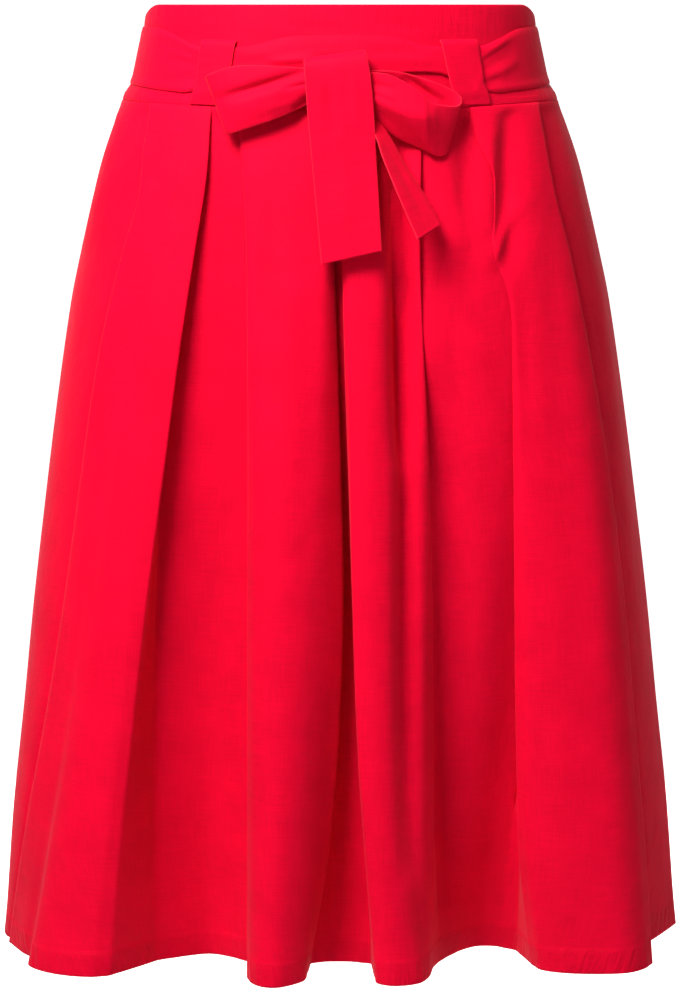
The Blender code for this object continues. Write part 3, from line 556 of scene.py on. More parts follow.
THREADS_ACROSS, THREADS_ALONG, WEAVE_SCALE = 1500.0, 45.0, 320.0
EDGE_HIGHLIGHT_RED = (0.85, 0.030, 0.055, 1.0)


def poplin(name, light, dark, crinkle):
    """Plain-woven cotton with a fine slub both ways. Doubled cloth is painted a little darker,
    as painted shade, because no light comes through it, and the pressed round edges are
    painted paler, as a painted highlight."""
    material, shader, tone = new_finish(name, {
        "Specular IOR Level": 0.03, "Sheen Weight": 0.045, "Sheen Roughness": 0.45,
        "Sheen Tint": (1.0, 0.45, 0.48, 1.0)})
    cut = tone.add("ShaderNodeUVMap", {"uv_map": "cut"}, {})
    doubled = tone.add("ShaderNodeAttribute", {"attribute_name": "doubled"}, {}, "Fac")
    pressed = tone.add("ShaderNodeAttribute", {"attribute_name": "pressed"}, {}, "Fac")

    def noise(place, **values):
        return tone.add("ShaderNodeTexNoise", {"noise_dimensions": "2D"},
                        {"Vector": place, **values}, "Fac")

    def drawn_out(across, along, shift=0.0):
        return tone.add("ShaderNodeMapping", {}, {
            "Vector": cut, "Scale": (across, along, 1.0), "Location": (shift, shift, 0.0)})

    def threads(across, along, shift):
        return noise(drawn_out(across, along, shift), Scale=1.0, Detail=2.0, Roughness=0.6)

    def weave(direction):
        return tone.add("ShaderNodeTexWave", {"bands_direction": direction}, {
            "Vector": cut, "Scale": WEAVE_SCALE, "Distortion": 0.0}, "Fac")

    warp = threads(THREADS_ACROSS, THREADS_ALONG, 3.1)
    weft = threads(THREADS_ALONG, THREADS_ACROSS, 7.7)
    slub = (warp + weft) * 0.5
    cloud = noise(cut, Scale=22.0, Detail=4.0, Roughness=0.6)
    pucker = noise(drawn_out(210.0, 34.0), Scale=1.0, Detail=2.0)
    # Doubled cloth (turned-up hem, band, tubes) is painted darker here, as painted shade.
    part = (slub - 0.5) * 1.9 + (cloud - 0.5) * 1.1 + 0.55 - doubled * 0.25
    colour = two_tone(tone.add("ShaderNodeClamp", {}, {"Value": part}), dark, light)
    # Pressed round edges are painted paler: a painted highlight along them, not wear.
    colour = two_tone(pressed * (slub * 1.2 - 0.15), colour, EDGE_HIGHLIGHT_RED)
    fine = tone.add("ShaderNodeBump", {}, {
        "Height": slub * 0.7 + weave("X") * weave("Y") * 0.3, "Strength": 0.5,
        "Distance": 0.00012})
    soft = tone.add("ShaderNodeBump", {}, {
        "Height": cloud + pucker * doubled, "Strength": crinkle, "Distance": 0.0016,
        "Normal": fine})
    colour.feed(shader.inputs["Base Color"])
    (0.66 + (slub - 0.5) * 0.2).feed(shader.inputs["Roughness"])
    soft.feed(shader.inputs["Normal"])
    return material


skirt_cotton = poplin("red_poplin", (0.75, 0.0010, 0.026, 1.0), (0.58, 0.0006, 0.019, 1.0), 0.8)

FRONT_CREASES = [
    Crease(-184, -176, -149, -52, 9, -3.4, 0.3),
    Crease(-190, -176, -156, -52, 4, 1.6),
    Crease(-132, -88, -176, -150, 5, -1.8, 1.8),
    Crease(-120, -96, -168, -176, 7, 1.8),
    Crease(-146, -150, -186, -320, 8, -1.8),
    Crease(-138, -190, -150, -330, 9, 0.9),
    Crease(-95, -90, -120, -230, 10, 0.9),
    Crease(-84, -96, -76, -250, 6, 1.4),
    Crease(-70, -250, -78, -420, 12, 1.2),
    Crease(-46, -90, -50, -240, 8, 1.1),
    Crease(-32, -180, -36, -420, 9, -1.1),
    Crease(20, -200, 18, -380, 8, -1.2),
    Crease(88, -84, 90, -200, 5, 1.6),
    Crease(76, -110, 78, -190, 7, -1.2),
    Crease(120, -56, 117.5, -186, 8.5, 6.5),
    Crease(105.5, -84, 104.5, -182, 4, -1.6),
    Crease(100, -184, 128, -132, 5, -3.6, 0.5),
    Crease(71, -360, 63.5, -90, 9.5, 4, 0.45),
    Crease(79, -640, 75, -165, 18, 14, 0.72),
    Crease(46.5, -610, 47.5, -125, 11, 11.5, 0.58),
    Crease(43, -320, 42, -60, 12, 13, 0.75),
    Crease(86, -48, 92, -152, 9, 5.5),
    Crease(127, -190, 134, -330, 6, 1.3),
    Crease(116, -186, 122, -300, 5, -1),
    Crease(144, -96, 158, -330, 9, 1),
    Crease(170, -300, 190, -520, 14, -1.4),
    Crease(146, -380, 160, -620, 12, -1.2),
    Crease(75, -420, 70, -600, 12, 0.8),
    Crease(-190, -330, -215, -560, 13, 1.2),
    Crease(-168, -300, -196, -500, 10, -1.1),
    Crease(-150, -585, -118, -606, 5, 0.6),
    Crease(-205, -600, -160, -640, 6, 0.7),
]


def hung_panel(side, lines, spacing, creases, facing):
    """A panel with its folds, creases and hem, and its grid without the hem. facing is 1 in
    front and -1 behind, where the tables are read from behind."""
    panel = panel_grid(lines, spacing)
    dent = creased(panel[..., 0], panel[..., 2], creases) * settled(panel)
    panel = (panel - away(panel) * dent[..., None]) * (facing, facing, 1.0)
    hemmed = turned_up(panel)
    near_hem = np.clip((hemmed[..., 2] - (HEM_Z + HEM_TURN_UP)) / -HEM_BLEND, 0.0, 1.0)
    piece = cloth_piece(f"skirt_{side}_cloth", hemmed, PANEL_WALL, near_hem)
    fasten(piece, skirt_cotton, f"skirt_{side}")
    return piece, panel


skirt_front, front_panel = hung_panel("front", FRONT_LINES, 4.4, FRONT_CREASES, 1.0)

# ------------------------------------------------------------------------------------
# Back panel. The same cloth with the same four pleats, plainer in its fall. It meets the
# front panel in the two side seams.
BACK_LINES = [
    Line("side_right", -213.9, PLAIN, -250.6, -18, 1),
    Line("side_right_a", -198, -1.4, -250, -26, 1),
    Line("side_right_b", -180, -2, -245, -34, 1),
    Line("side_right_c", -162, -3, -236, -43, 1),
    Line("side_right_d", -144, FLOOR, -225, -52, 1),
    Line("k_inner", -128, INNER, -214, -60, 1, 1),
    Line("k_return", -143, RETURN, -219, -78, 1),
    Line("k_edge", -158, EDGE, -222, -98, 1.1, 1),
    Line("kl_face_a", -140, FACE, -200, -124, 1.2),
    Line("kl_face_b", -118, FACE, -172, -132, 1.2),
    Line("l_edge", -97, EDGE, -143, -118, 1.1, 1.4),
    Line("l_return", -109, RETURN, -134, -98, 1.1),
    Line("l_inner", -121, INNER, -122, -74, 1.1, 3),
    Line("lm_floor_a", -96, FLOOR, -104, -63, 1.1),
    Line("lm_floor_b", -70, FLOOR, -86, -67, 1.1),
    Line("m_inner", -38, INNER, -70, -86, 1.1, 2),
    Line("m_return", -52, RETURN, -71, -108, 1.1),
    Line("m_edge", -66, EDGE, -70, -132, 1.1, 1),
    Line("mn_face_a", -50, FACE, -58, -156, 1.2),
    Line("mn_face_b", -28, FACE, -38, -158, 1.2),
    Line("n_edge", -4, EDGE, -18, -134, 1.1, 1.6),
    Line("n_return", -18, RETURN, -16, -112, 1.1),
    Line("n_inner", -32, INNER, -13, -92, 1.1, 2),
    Line("no_floor", -2, FLOOR, 2, -87, 1.1),
    Line("o_inner", 30, INNER, 16, -93, 1.1, 2),
    Line("o_return", 17, RETURN, 18, -114, 1.1),
    Line("o_edge", 3, EDGE, 20, -136, 1.1, 1.8),
    Line("op_face_a", 20, FACE, 38, -160, 1.2),
    Line("op_face_b", 44, FACE, 58, -156, 1.2),
    Line("p_edge", 66, EDGE, 76, -130, 1.1, 1),
    Line("p_return", 52, RETURN, 77, -106, 1.1),
    Line("p_inner", 38, INNER, 78, -82, 1.1, 2),
    Line("pq_floor_a", 70, FLOOR, 92, -65, 1.1),
    Line("pq_floor_b", 96, FLOOR, 108, -61, 1.1),
    Line("q_inner", 121, INNER, 124, -70, 1.1, 3),
    Line("q_return", 109, RETURN, 134, -94, 1.1),
    Line("q_edge", 97, EDGE, 142, -116, 1.1, 1.4),
    Line("qr_face_a", 118, FACE, 168, -134, 1.2),
    Line("qr_face_b", 140, FACE, 198, -126, 1.2),
    Line("r_edge", 156, EDGE, 224, -98, 1.1, 1),
    Line("r_return", 142, RETURN, 219, -78, 1),
    Line("r_inner", 127, INNER, 213, -56, 1, 1),
    Line("side_left_d", 143, FLOOR, 223, -48, 1),
    Line("side_left_c", 161, -3, 233, -38, 1),
    Line("side_left_b", 179, -2, 241, -24, 1),
    Line("side_left_a", 198, -1.4, 246, -10, 1),
    Line("side_left", 213.9, PLAIN, 248.3, 2, 1),
]
BACK_CREASES = [
    Crease(-120, -110, -142, -210, 9, 1),
    Crease(-150, -240, -178, -420, 13, -1),
    Crease(-30, -140, -36, -330, 11, 0.9),
    Crease(32, -210, 40, -430, 12, -0.9),
    Crease(112, -120, 124, -260, 9, 1.1),
    Crease(150, -330, 172, -560, 14, 1),
    Crease(-96, -450, -92, -610, 10, 0.7),
    Crease(84, -110, 90, -190, 7, -0.8),
]
skirt_back, back_panel = hung_panel("back", BACK_LINES, 4.8, BACK_CREASES, -1.0)

# ------------------------------------------------------------------------------------
# Hem stitches. A row of red sewing thread goes round each panel, just under the raw edge
# of the turned-up hem, and each stitch sinks a little way into the cloth.
STITCH_STEP, STITCH_LENGTH, THREAD = 3.0, 2.3, 0.34
STITCH_SIDES, STITCH_AIM, STITCH_DOWN, STITCH_SUNK = 6, 0.5, 1.0, 0.02
# Along a stitch: how far, as a share of its length, how thick it is, and how high.
STITCH_PROFILE = [(0.0, 0.0, -0.6), (0.16, 0.8, 0.0), (0.5, 1.0, 0.25), (0.84, 0.8, 0.0),
                  (1.0, 0.0, -0.6)]


def walk(points):
    """Distance along a line to each of its points."""
    return np.concatenate([[0.0], np.cumsum(np.linalg.norm(np.diff(points, axis=0), axis=1))])


def point_at(points, walked, at):
    return np.array([np.interp(at, walked, points[:, k]) for k in range(3)])


def stitch_row(name, points, normals):
    """Short lengths of thread along a line on the cloth, one for each stitch."""
    walked = walk(points)
    verts, faces = [], []
    for start in np.arange(STITCH_STEP, walked[-1] - STITCH_STEP, STITCH_STEP):
        rings = []
        for share, size, lift in STITCH_PROFILE:
            at = start + STITCH_LENGTH * share
            out = point_at(normals, walked, at)
            out /= np.linalg.norm(out)
            ahead = (point_at(points, walked, at + STITCH_AIM)
                     - point_at(points, walked, at - STITCH_AIM))
            side = np.cross(ahead, out)
            side /= np.linalg.norm(side)
            centre = point_at(points, walked, at) + out * THREAD / 2 * lift
            ring = []
            for k in range(1 if size == 0.0 else STITCH_SIDES):
                a = 2 * math.pi * k / STITCH_SIDES
                ring.append(len(verts))
                verts.append(centre + (out * math.cos(a) + side * math.sin(a))
                             * THREAD / 2 * size)
            rings.append(ring)
        for a, b in zip(rings, rings[1:]):
            for k in range(STITCH_SIDES):
                j = (k + 1) % STITCH_SIDES
                if len(a) == 1:
                    faces.append((a[0], b[k], b[j]))
                elif len(b) == 1:
                    faces.append((a[k], b[0], a[j]))
                else:
                    faces.append((a[k], b[k], b[j], a[j]))
    return new_piece(name, np.array(verts), faces)


ON_OBJECT = ("ShaderNodeTexCoord", {}, {}, "Object")
ON_CUT = ("ShaderNodeUVMap", {"uv_map": "cut"}, {})


def fine_finish(name, place, pattern, dark, light, relief, values):
    """Material with one fine pattern of two colours, which stands proud by relief, as the
    strength and distance of its bump."""
    material, shader, tone = new_finish(name, values)
    kind, settings, sockets = pattern
    fine = tone.add(kind, settings, {"Vector": tone.add(*place), **sockets}, "Fac")
    bump = tone.add("ShaderNodeBump", {}, {
        "Height": fine, "Strength": relief[0], "Distance": relief[1]})
    two_tone(fine, dark, light).feed(shader.inputs["Base Color"])
    bump.feed(shader.inputs["Normal"])
    return material


# Spun polyester sewing thread, a little brighter than the cloth.
thread_red = fine_finish(
    "sewing_thread", ON_OBJECT, ("ShaderNodeTexNoise", {}, {"Scale": 2600.0, "Detail": 1.0}),
    (0.52, 0.0006, 0.018, 1.0), (0.74, 0.001, 0.027, 1.0), (0.5, 0.0001),
    {"Roughness": 0.6, "Specular IOR Level": 0.15})


def hem_line(panel, height):
    """Line on the outside of a panel at a height above its hem, and the way out."""
    z = panel[:, :, 2]
    row = int(np.argmin(np.abs(z[:, z.shape[1] // 2] - (HEM_Z + height))))
    out = out_of(panel)[row]
    return panel[row] + out * (PANEL_WALL / 2 - STITCH_SUNK), out


for side, panel in (("front", front_panel), ("back", back_panel)):
    stitches = stitch_row(f"hem_stitches_{side}", *hem_line(panel, HEM_TURN_UP - STITCH_DOWN))
    fasten(stitches, thread_red)

# ------------------------------------------------------------------------------------
# Waistband. Front and back halves of doubled cotton, folded over at the top edge and
# sewn down over the pleats. It is drawn in a little under the sash.
BAND_WALL, BAND_CLOTH = 2.2, 0.6
BAND_TOP_DEPTH, BAND_SEAM_DEPTH = 97.0, 106.5
BAND_PROFILE = [
    Flare(0, 137.8), Flare(-8, 139.3), Flare(-14.5, 140.2), Flare(-18, 139.9),
    Flare(-35, 143.4), Flare(-50, 146.7), Flare(-53, 147.9), Flare(-55.5, 149.6),
    Flare(-58.5, 151.8), Flare(-63, 154.7), Flare(-66.4, 156),
]
RIM_DROP, RIM_DROP_START, RIM_BEHIND, RIM_BEHIND_OVER = 7.5, 68.0, 0.9, 15.0
BAND_LEVELS, BAND_COLUMNS, BAND_FOLD_ROWS, BAND_INSIDE_DENT = 30, 131, 9, 0.4
# The lower edge is turned in at the seam: share of the height, inset and lift.
BAND_EDGE = [(1.0, 0.35, -0.3), (1.0, 0.2, -0.4), (1.0, 0.05, -0.2)]
BAND_CREASES = [
    Crease(-46, -14, 10, -17, 3, 0.45),
    Crease(-60, -24, -8, -21, 3.5, 0.5),
    Crease(22, -12, 78, -18, 3, 0.5),
    Crease(44, -27, 88, -22, 3, 0.45),
    Crease(-120, -22, -78, -26, 4, 0.4),
    Crease(96, -10, 130, -14, 3.5, 0.4),
    Crease(8, -52, 70, -56, 3, 0.5),
    Crease(-128, -62, -90, -64, 2.5, 0.3),
]


def band_ring(z, angle, inward=0.0):
    """Outline of the waistband at a height, where its seam is as high as at an angle."""
    level = z * BAND_PROFILE[-1].z / seam_height(angle)
    width = table_at(BAND_PROFILE, "half_width", level)
    depth = BAND_TOP_DEPTH + (BAND_SEAM_DEPTH - BAND_TOP_DEPTH) * level / BAND_PROFILE[-1].z
    return width - inward, depth - inward, SEAM_POWER


def rim_height(angle):
    """Top edge: level in front, a little lower behind and right at the sides."""
    from_front = math.degrees(abs(math.remainder(angle, 2 * math.pi)))
    fall = max(0.0, 1.0 - abs(90.0 - from_front) / (90.0 - RIM_DROP_START))
    behind = unit((from_front - 90.0) / RIM_BEHIND_OVER)
    return -RIM_DROP * fall**2 * (3.0 - 2.0 * fall) - RIM_BEHIND * behind * (1.0 - fall)


def band_half(first, last):
    """One half of the band: up its outside, over the top edge and down its inside."""
    fold = (BAND_WALL - BAND_CLOTH) / 2
    steps = BAND_EDGE + [(s, 0.0, 0.0) for s in np.linspace(0.985, 0.02, BAND_LEVELS)]
    steps += [(0.0, fold - fold * math.cos(a), math.sin(a) * fold - fold)
              for a in np.linspace(0.0, math.pi, BAND_FOLD_ROWS)[1:-1]]
    steps += [(s, 2 * fold, 0.0) for s in np.linspace(0.02, 1.0, BAND_LEVELS)]
    rows = []
    for share, inset, lift in steps:
        row = []
        for degrees in np.linspace(first, last, BAND_COLUMNS):
            angle = math.radians(degrees)
            top = rim_height(angle)
            z = top + (seam_height(angle) - top) * share + lift
            ring = band_ring(min(z, 0.0), angle, BAND_CLOTH / 2 + inset)
            row.append((*ring_point(ring, angle), z))
        rows.append(row)
    return np.array(rows)[::-1]


def band_piece(side, first, last, facing):
    """Half a waistband as a piece of cloth. facing is 1 in front and -1 behind."""
    grid = band_half(first, last)
    inside_rows = BAND_LEVELS + 4
    depth = creased(grid[..., 0] * facing, grid[..., 2], BAND_CREASES)
    depth[:inside_rows] *= BAND_INSIDE_DENT
    out = out_of(grid)
    out[:inside_rows] *= -1.0
    grid = grid - out * depth[..., None]
    piece = cloth_piece(f"waistband_{side}_cloth", grid, BAND_CLOTH, 0.5)
    fasten(piece, band_cotton, f"waistband_{side}")


band_cotton = poplin("band_poplin", (0.74, 0.0010, 0.027, 1.0), (0.58, 0.0006, 0.020, 1.0), 0.5)
band_piece("front", -89.85, 89.85, 1.0)
band_piece("back", 90.15, 269.85, -1.0)

# ------------------------------------------------------------------------------------
# Sash. A long tube of the same cotton, turned out and pressed flat, goes round the waist
# through the carriers. It is drawn up narrower where it enters them and behind the bow.
SashEdge = namedtuple("SashEdge", "angle top bottom gather")
SASH_EDGES = [
    SashEdge(0, -20.5, -45.5, 1), SashEdge(13, -22, -45.7, 1),
    SashEdge(24, -28.4, -46, 0.7), SashEdge(34, -28.8, -54, 0.3),
    SashEdge(42, -28.4, -60, 0.3), SashEdge(50, -23.5, -59.4, 0.3),
    SashEdge(60, -17.5, -58, 0.2), SashEdge(72, -15.8, -56.4, 0),
    SashEdge(90, -15.7, -55.3, 0), SashEdge(118, -15.9, -55.6, 0),
    SashEdge(138, -28.2, -56.6, 0.3), SashEdge(156, -28.4, -56.6, 0.3),
    SashEdge(180, -20, -56, 0.2),
]
SASH_HALF, SASH_CLEAR, SASH_GATHER = 0.65, 0.9, 0.5
SASH_COLUMNS, SASH_ROWS, SASH_WAVES = 480, 23, 1.6
# In front, its upper part is hidden up to this angle. Each edge is thinned over a share.
HIDDEN_TO, HIDDEN_FADE, HIDDEN_SHARE = 27.0, 4.0, 0.45
THIN_TOP, THIN_BOTTOM, THIN_BY, THIN_HALF, THIN_CLEAR = 0.1, 0.07, 0.8, 0.22, 0.3
SASH_CREASES = [
    Crease(-128, -24, -98, -37, 3.2, 1),
    Crease(-122, -38, -96, -41, 3, 0.8),
    Crease(-118, -31, -98, -40, 2.4, -0.8),
    Crease(-126, -52, -98, -50, 3, 0.6),
    Crease(97, -44, 122, -26, 4.2, 1.7),
    Crease(97, -36, 120, -22, 3.2, -1.3),
    Crease(100, -52, 126, -38, 3.4, -1.2),
    Crease(98, -56, 112, -50, 2.8, 1.5),
    Crease(-72, -36, 30, -31, 3, -0.7),
    Crease(-50, -38.5, -14, -36.6, 2.4, -1.9),
    Crease(20, -36, 84, -38, 3, -0.7),
]
TUBE_ROUNDS = [math.radians(a) for a in (50.0, 90.0, 130.0)]
TUBE_ROUND_CUT, TUBE_DOUBLED = 0.4, 0.3


def end_caps(base, columns, order):
    """Faces that close one end of a flat tube, whose points are numbered from base."""
    over = base + 2 * columns + 1
    caps = [[base + j, base + j + 1, over - j, over + 1 - j] for j in range(columns - 1)]
    caps.append([base + columns - 1 + k for k in range(len(TUBE_ROUNDS) + 2)])
    caps.append([base] + [over + 1 + k for k in range(len(TUBE_ROUNDS) + 1)])
    return [tuple(cap[::order]) for cap in caps]


def flat_tube(name, grid, half, ring=False):
    """Tube of cloth pressed flat: two faces and two round edges along a grid, whose rows
    go along the tube and whose columns go across it. half is its half thickness. The round
    edges of one with ends are marked as pressed, for a painted highlight along them."""
    half = np.broadcast_to(half, grid.shape[:2])[..., None]
    columns, rounds = grid.shape[1], len(TUBE_ROUNDS)
    out = out_of(np.concatenate([grid[-1:], grid, grid[:1]]))[1:-1] if ring else out_of(grid)

    def round_edge(column, inner, way):
        beyond = grid[:, column] - grid[:, inner]
        beyond /= np.linalg.norm(beyond, axis=1, keepdims=True)
        return np.stack([
            grid[:, column] + (out[:, column] * way * math.cos(a) + beyond * math.sin(a))
            * half[:, column] for a in TUBE_ROUNDS], axis=1)

    shell = np.concatenate([grid + out * half, round_edge(-1, -2, 1.0),
                            (grid - out * half)[:, ::-1], round_edge(0, 1, -1.0)], axis=1)
    wide = lengths(grid, 1)
    v = np.concatenate([wide, np.repeat(wide[:, -1:], rounds, axis=1) + TUBE_ROUND_CUT,
                        wide[:, ::-1], np.repeat(wide[:, :1], rounds, axis=1)
                        - TUBE_ROUND_CUT], axis=1)
    u = lengths(grid, 0)[:, columns // 2]
    count, size = shell.shape[:2]
    faces, places = [], []
    for i in range(count if ring else count - 1):
        n = (i + 1) % count
        ahead = u[i] + np.linalg.norm(grid[n, 0] - grid[i, 0])
        for j in range(size):
            k = (j + 1) % size
            faces.append((i * size + j, n * size + j, n * size + k, i * size + k))
            places += [(u[i], v[i, j]), (ahead, v[n, j]), (ahead, v[n, k]), (u[i], v[i, k])]
    # Round edges marked as pressed, where the cloth's finish paints a highlight.
    pressed = np.zeros((count, size))
    if not ring:
        pressed[:, columns:columns + rounds] = pressed[:, -rounds:] = 1.0
        for i, order in ((0, 1), (count - 1, -1)):
            for cap in end_caps(i * size, columns, order):
                faces.append(cap)
                places += [(u[i], v[i, c % size]) for c in cap]
    return new_piece(name, shell.reshape(-1, 3), faces, np.array(places) * MM, [
        ("doubled", np.full(count * size, TUBE_DOUBLED)), ("pressed", pressed)])


def thinned(share, reach):
    """1 at an edge, falling smoothly to 0 where share comes to reach."""
    return (1.0 - min(share / reach, 1.0)) ** 2


def sash_grid():
    """Middle of the sash round the waist, with its gathers, and its half thickness. In
    front its upper edge is drawn thin and lies on the band."""
    rows, halves = [], []
    for degrees in np.arange(SASH_COLUMNS) * 360.0 / SASH_COLUMNS:
        off = degrees if degrees <= 180.0 else 360.0 - degrees
        top, bottom, gather = (table_at(SASH_EDGES, column, off)
                               for column in ("top", "bottom", "gather"))
        angle = math.radians(degrees)
        hidden = unit((HIDDEN_TO - off) / HIDDEN_FADE)
        row = []
        for share in np.linspace(0.0, 1.0, SASH_ROWS):
            z = top + (bottom - top) * share
            wave = math.sin(2 * math.pi * (SASH_WAVES * share + 0.1 * math.sin(angle * 5)))
            near = max(hidden * thinned(share, HIDDEN_SHARE),
                       thinned(share, THIN_TOP) * THIN_BY,
                       thinned(1.0 - share, THIN_BOTTOM) * THIN_BY * (1.0 - hidden))
            out = SASH_CLEAR + SASH_HALF + SASH_GATHER * gather * (0.5 + 0.5 * wave)
            out += (THIN_HALF + THIN_CLEAR - out) * near
            row.append((*ring_offset(band_ring(z, angle), angle, out), z))
            halves.append(SASH_HALF + (THIN_HALF - SASH_HALF) * near)
        rows.append(row)
    return np.array(rows), np.reshape(halves, (SASH_COLUMNS, SASH_ROWS))


sash_cotton = poplin("sash_poplin", (0.74, 0.0010, 0.027, 1.0), (0.60, 0.0006, 0.020, 1.0), 0.5)
sash, sash_half = sash_grid()
in_front = np.where(sash[..., 1] < 0.0, 1.0, -1.0)
pull = creased(sash[..., 0] * in_front, sash[..., 2], SASH_CREASES)
sash = sash - away(sash) * np.clip(pull, -2.0, 0.5)[..., None]
sash_band = flat_tube("sash_band_cloth", sash, sash_half, ring=True)
fasten(sash_band, sash_cotton, "sash_band")

# ------------------------------------------------------------------------------------
# Belt carriers. Four straps of doubled cotton, folded in at the top and sewn into the
# waist seam, hold the sash at its height.
Carrier = namedtuple("Carrier", "node top_from top_to bottom_from bottom_to")
CARRIERS = [
    Carrier("belt_loop_front_left", -40.2, -28.3, -39.6, -29.6),
    Carrier("belt_loop_front_right", 27.2, 39.8, 29.6, 40),
    Carrier("belt_loop_back_left", 220, 206.5, 219.2, 207.5),
    Carrier("belt_loop_back_right", 153.5, 140, 152.5, 140.8),
]
CarrierRow = namedtuple("CarrierRow", "z out")
CARRIER_ROWS = [
    CarrierRow(-24.6, 0.8), CarrierRow(-25.6, 1.7), CarrierRow(-27.2, 3),
    CarrierRow(-36, 3.3), CarrierRow(-52, 3.3), CarrierRow(-62, 2.7),
    CarrierRow(-67, 1.4), CarrierRow(-70.4, 0.8),
]
CARRIER_HALF, CARRIER_DENT_MOST = 0.45, 0.1
CARRIER_STATIONS, CARRIER_COLUMNS = 52, 12
CARRIER_CREASES = [
    Crease(93, -64, 104, -34, 2.2, -0.8),
    Crease(86, -58, 96, -30, 2, 0.5),
    Crease(-96, -30, -92, -62, 2.2, 0.6),
    Crease(-66.5, -26, -65.5, -68, 5.5, -3.6),
]


def carrier_grid(carrier):
    """Strap from the band, over the sash, to the waist seam."""
    zs = [r.z for r in CARRIER_ROWS]
    rows = []
    walked = np.cumsum([0.0] + [math.hypot(b.z - a.z, b.out - a.out) for a, b in
                                zip(CARRIER_ROWS, CARRIER_ROWS[1:])])
    for at in np.linspace(0.0, walked[-1], CARRIER_STATIONS):
        level = float(np.interp(at, walked, zs))
        lift = look_up(list(walked), [r.out for r in CARRIER_ROWS], at)
        share = (level - zs[0]) / (zs[-1] - zs[0])
        start = carrier.top_from + (carrier.bottom_from - carrier.top_from) * share
        end = carrier.top_to + (carrier.bottom_to - carrier.top_to) * share
        row = []
        for degrees in np.linspace(start, end, CARRIER_COLUMNS):
            angle = math.radians(degrees)
            z = level * seam_height(angle) / SEAM_Z
            row.append((*ring_offset(band_ring(z, angle), angle, lift), z))
        rows.append(row)
    return np.array(rows)


def dented(grid, dent):
    """A grid whose points have gone straight back by their dents."""
    return grid + np.array((0.0, 1.0, 0.0)) * dent[..., None]


for carrier in CARRIERS:
    grid = carrier_grid(carrier)
    if "front" in carrier.node:
        dent = creased(grid[..., 0], grid[..., 2], CARRIER_CREASES)
        grid = dented(grid, np.minimum(dent, CARRIER_DENT_MOST))
    strap = flat_tube(carrier.node + "_cloth", grid, CARRIER_HALF)
    fasten(strap, band_cotton, carrier.node)

# ------------------------------------------------------------------------------------
# Bow. The ends of the sash are tied in front: two loops, a tail that falls over the knot
# and a tail that comes out from under it. All are the same flat tube of cotton.
# Each row is a line across the strip, from its upper edge to its lower edge. It swells
# forward by belly, most of all where peak is, as a share of the way across.
Strip = namedtuple("Strip", "ax ay az bx by bz belly peak", defaults=[0.5])
LOOP_LEFT = [
    Strip(-16.9, -114.6, -44.4, -16.9, -114.8, -63, 0.8, 0.4),
    Strip(-24.5, -116, -43.6, -24, -116, -68.1, 2.5, 0.4),
    Strip(-50, -115, -41.8, -44.6, -117, -77, 4.2, 0.5),
    Strip(-73.5, -110, -42.4, -67, -114.5, -84.6, 3.2, 0.55),
    Strip(-88.6, -105, -47.4, -76, -111, -87.2, 1, 0.55),
    Strip(-92.3, -101.4, -49.2, -78.5, -108.5, -87, 0.3),
    Strip(-89.5, -98.8, -49.6, -76.5, -106.5, -85.6, 0.2),
    Strip(-70, -102.8, -46.6, -62, -108.2, -79, 0.3),
    Strip(-40, -106.8, -45.4, -36, -109.4, -71.5, 0.3),
    Strip(-16.9, -108.8, -46.5, -16.9, -109.4, -62, 0),
]
LOOP_RIGHT = [
    Strip(16.9, -114.8, -45.4, 16.9, -114, -63.6, 0.8, 0.6),
    Strip(22.5, -115.5, -46.4, 21.5, -113, -75.8, 3.5, 0.6),
    Strip(36, -116.5, -48.6, 38.5, -111, -89.8, 7.5, 0.58),
    Strip(52.8, -117, -58.4, 57, -109.5, -98.2, 9, 0.46),
    Strip(62, -116, -66.6, 63.5, -109.4, -101.6, 5.6, 0.32),
    Strip(69, -113.4, -68.6, 67.5, -108.2, -102.8, 2.6, 0.4),
    Strip(80, -106.8, -69.6, 71.4, -106.6, -102.4, 0.5),
    Strip(83.8, -101.8, -65.8, 73.8, -104.2, -100, 0),
    Strip(80, -98.2, -60.4, 70.6, -102.2, -92, 0),
    Strip(62, -100.2, -52.4, 57, -102.4, -82, -0.8),
    Strip(40, -104.4, -46.2, 37, -105.6, -72, -0.6),
    Strip(16.9, -108.4, -45, 16.9, -108.4, -62.5, 0),
]
TAIL_FRONT = [
    Strip(-21.5, -107.2, -36.6, 14.5, -107.2, -31, 0.2),
    Strip(-24, -114.5, -36.8, 16.8, -114, -31.4, 0.6),
    Strip(-24.2, -119.8, -41, 18.2, -119.4, -36, 1),
    Strip(-23.2, -121.6, -52, 20.4, -121.6, -49, 1.2),
    Strip(-21.9, -122.4, -71.5, 22.6, -122.8, -71, 1),
    Strip(-18.5, -125, -108, 24.5, -125.8, -106, 0.8),
    Strip(-15.2, -129.8, -144, 26.4, -130.6, -138, 0.4),
    Strip(-12.3, -133.6, -176.5, 28.1, -134.2, -167.5, 0.2),
]
TAIL_UNDER = [
    Strip(-1, -114.2, -64.9, 10, -113.8, -64.9, 0),
    Strip(10.5, -117.6, -74.3, 20, -113, -74.5, 0.2),
    Strip(23.5, -123.6, -87.5, 32, -113.8, -87, 0.3),
    Strip(30.5, -130, -106, 45, -114.8, -109.5, 0.5, 0.3),
    Strip(43, -136.6, -135.7, 59.5, -118.8, -132.5, 0.5, 0.3),
    Strip(53.6, -141, -159.1, 68.8, -123, -150.3, 0.3, 0.3),
]
RIBBON_HALF = 0.62
RIBBON_STEP, RIBBON_COLUMNS = 1.1, 31
LEFT_CREASES = [
    Crease(-88, -65, -22, -45, 5.4, 4.4, 0.55),
    Crease(-40, -57, -14, -51.5, 2.2, 1.6, 0.6),
    Crease(-33, -71.5, -8, -56, 3.6, 3.6, 0.7),
    Crease(-62, -73, -30, -66, 4, -1),
    Crease(-56, -63, -50, -80, 3, 0.7),
    Crease(-87, -56, -75, -84, 2, 0.8),
]
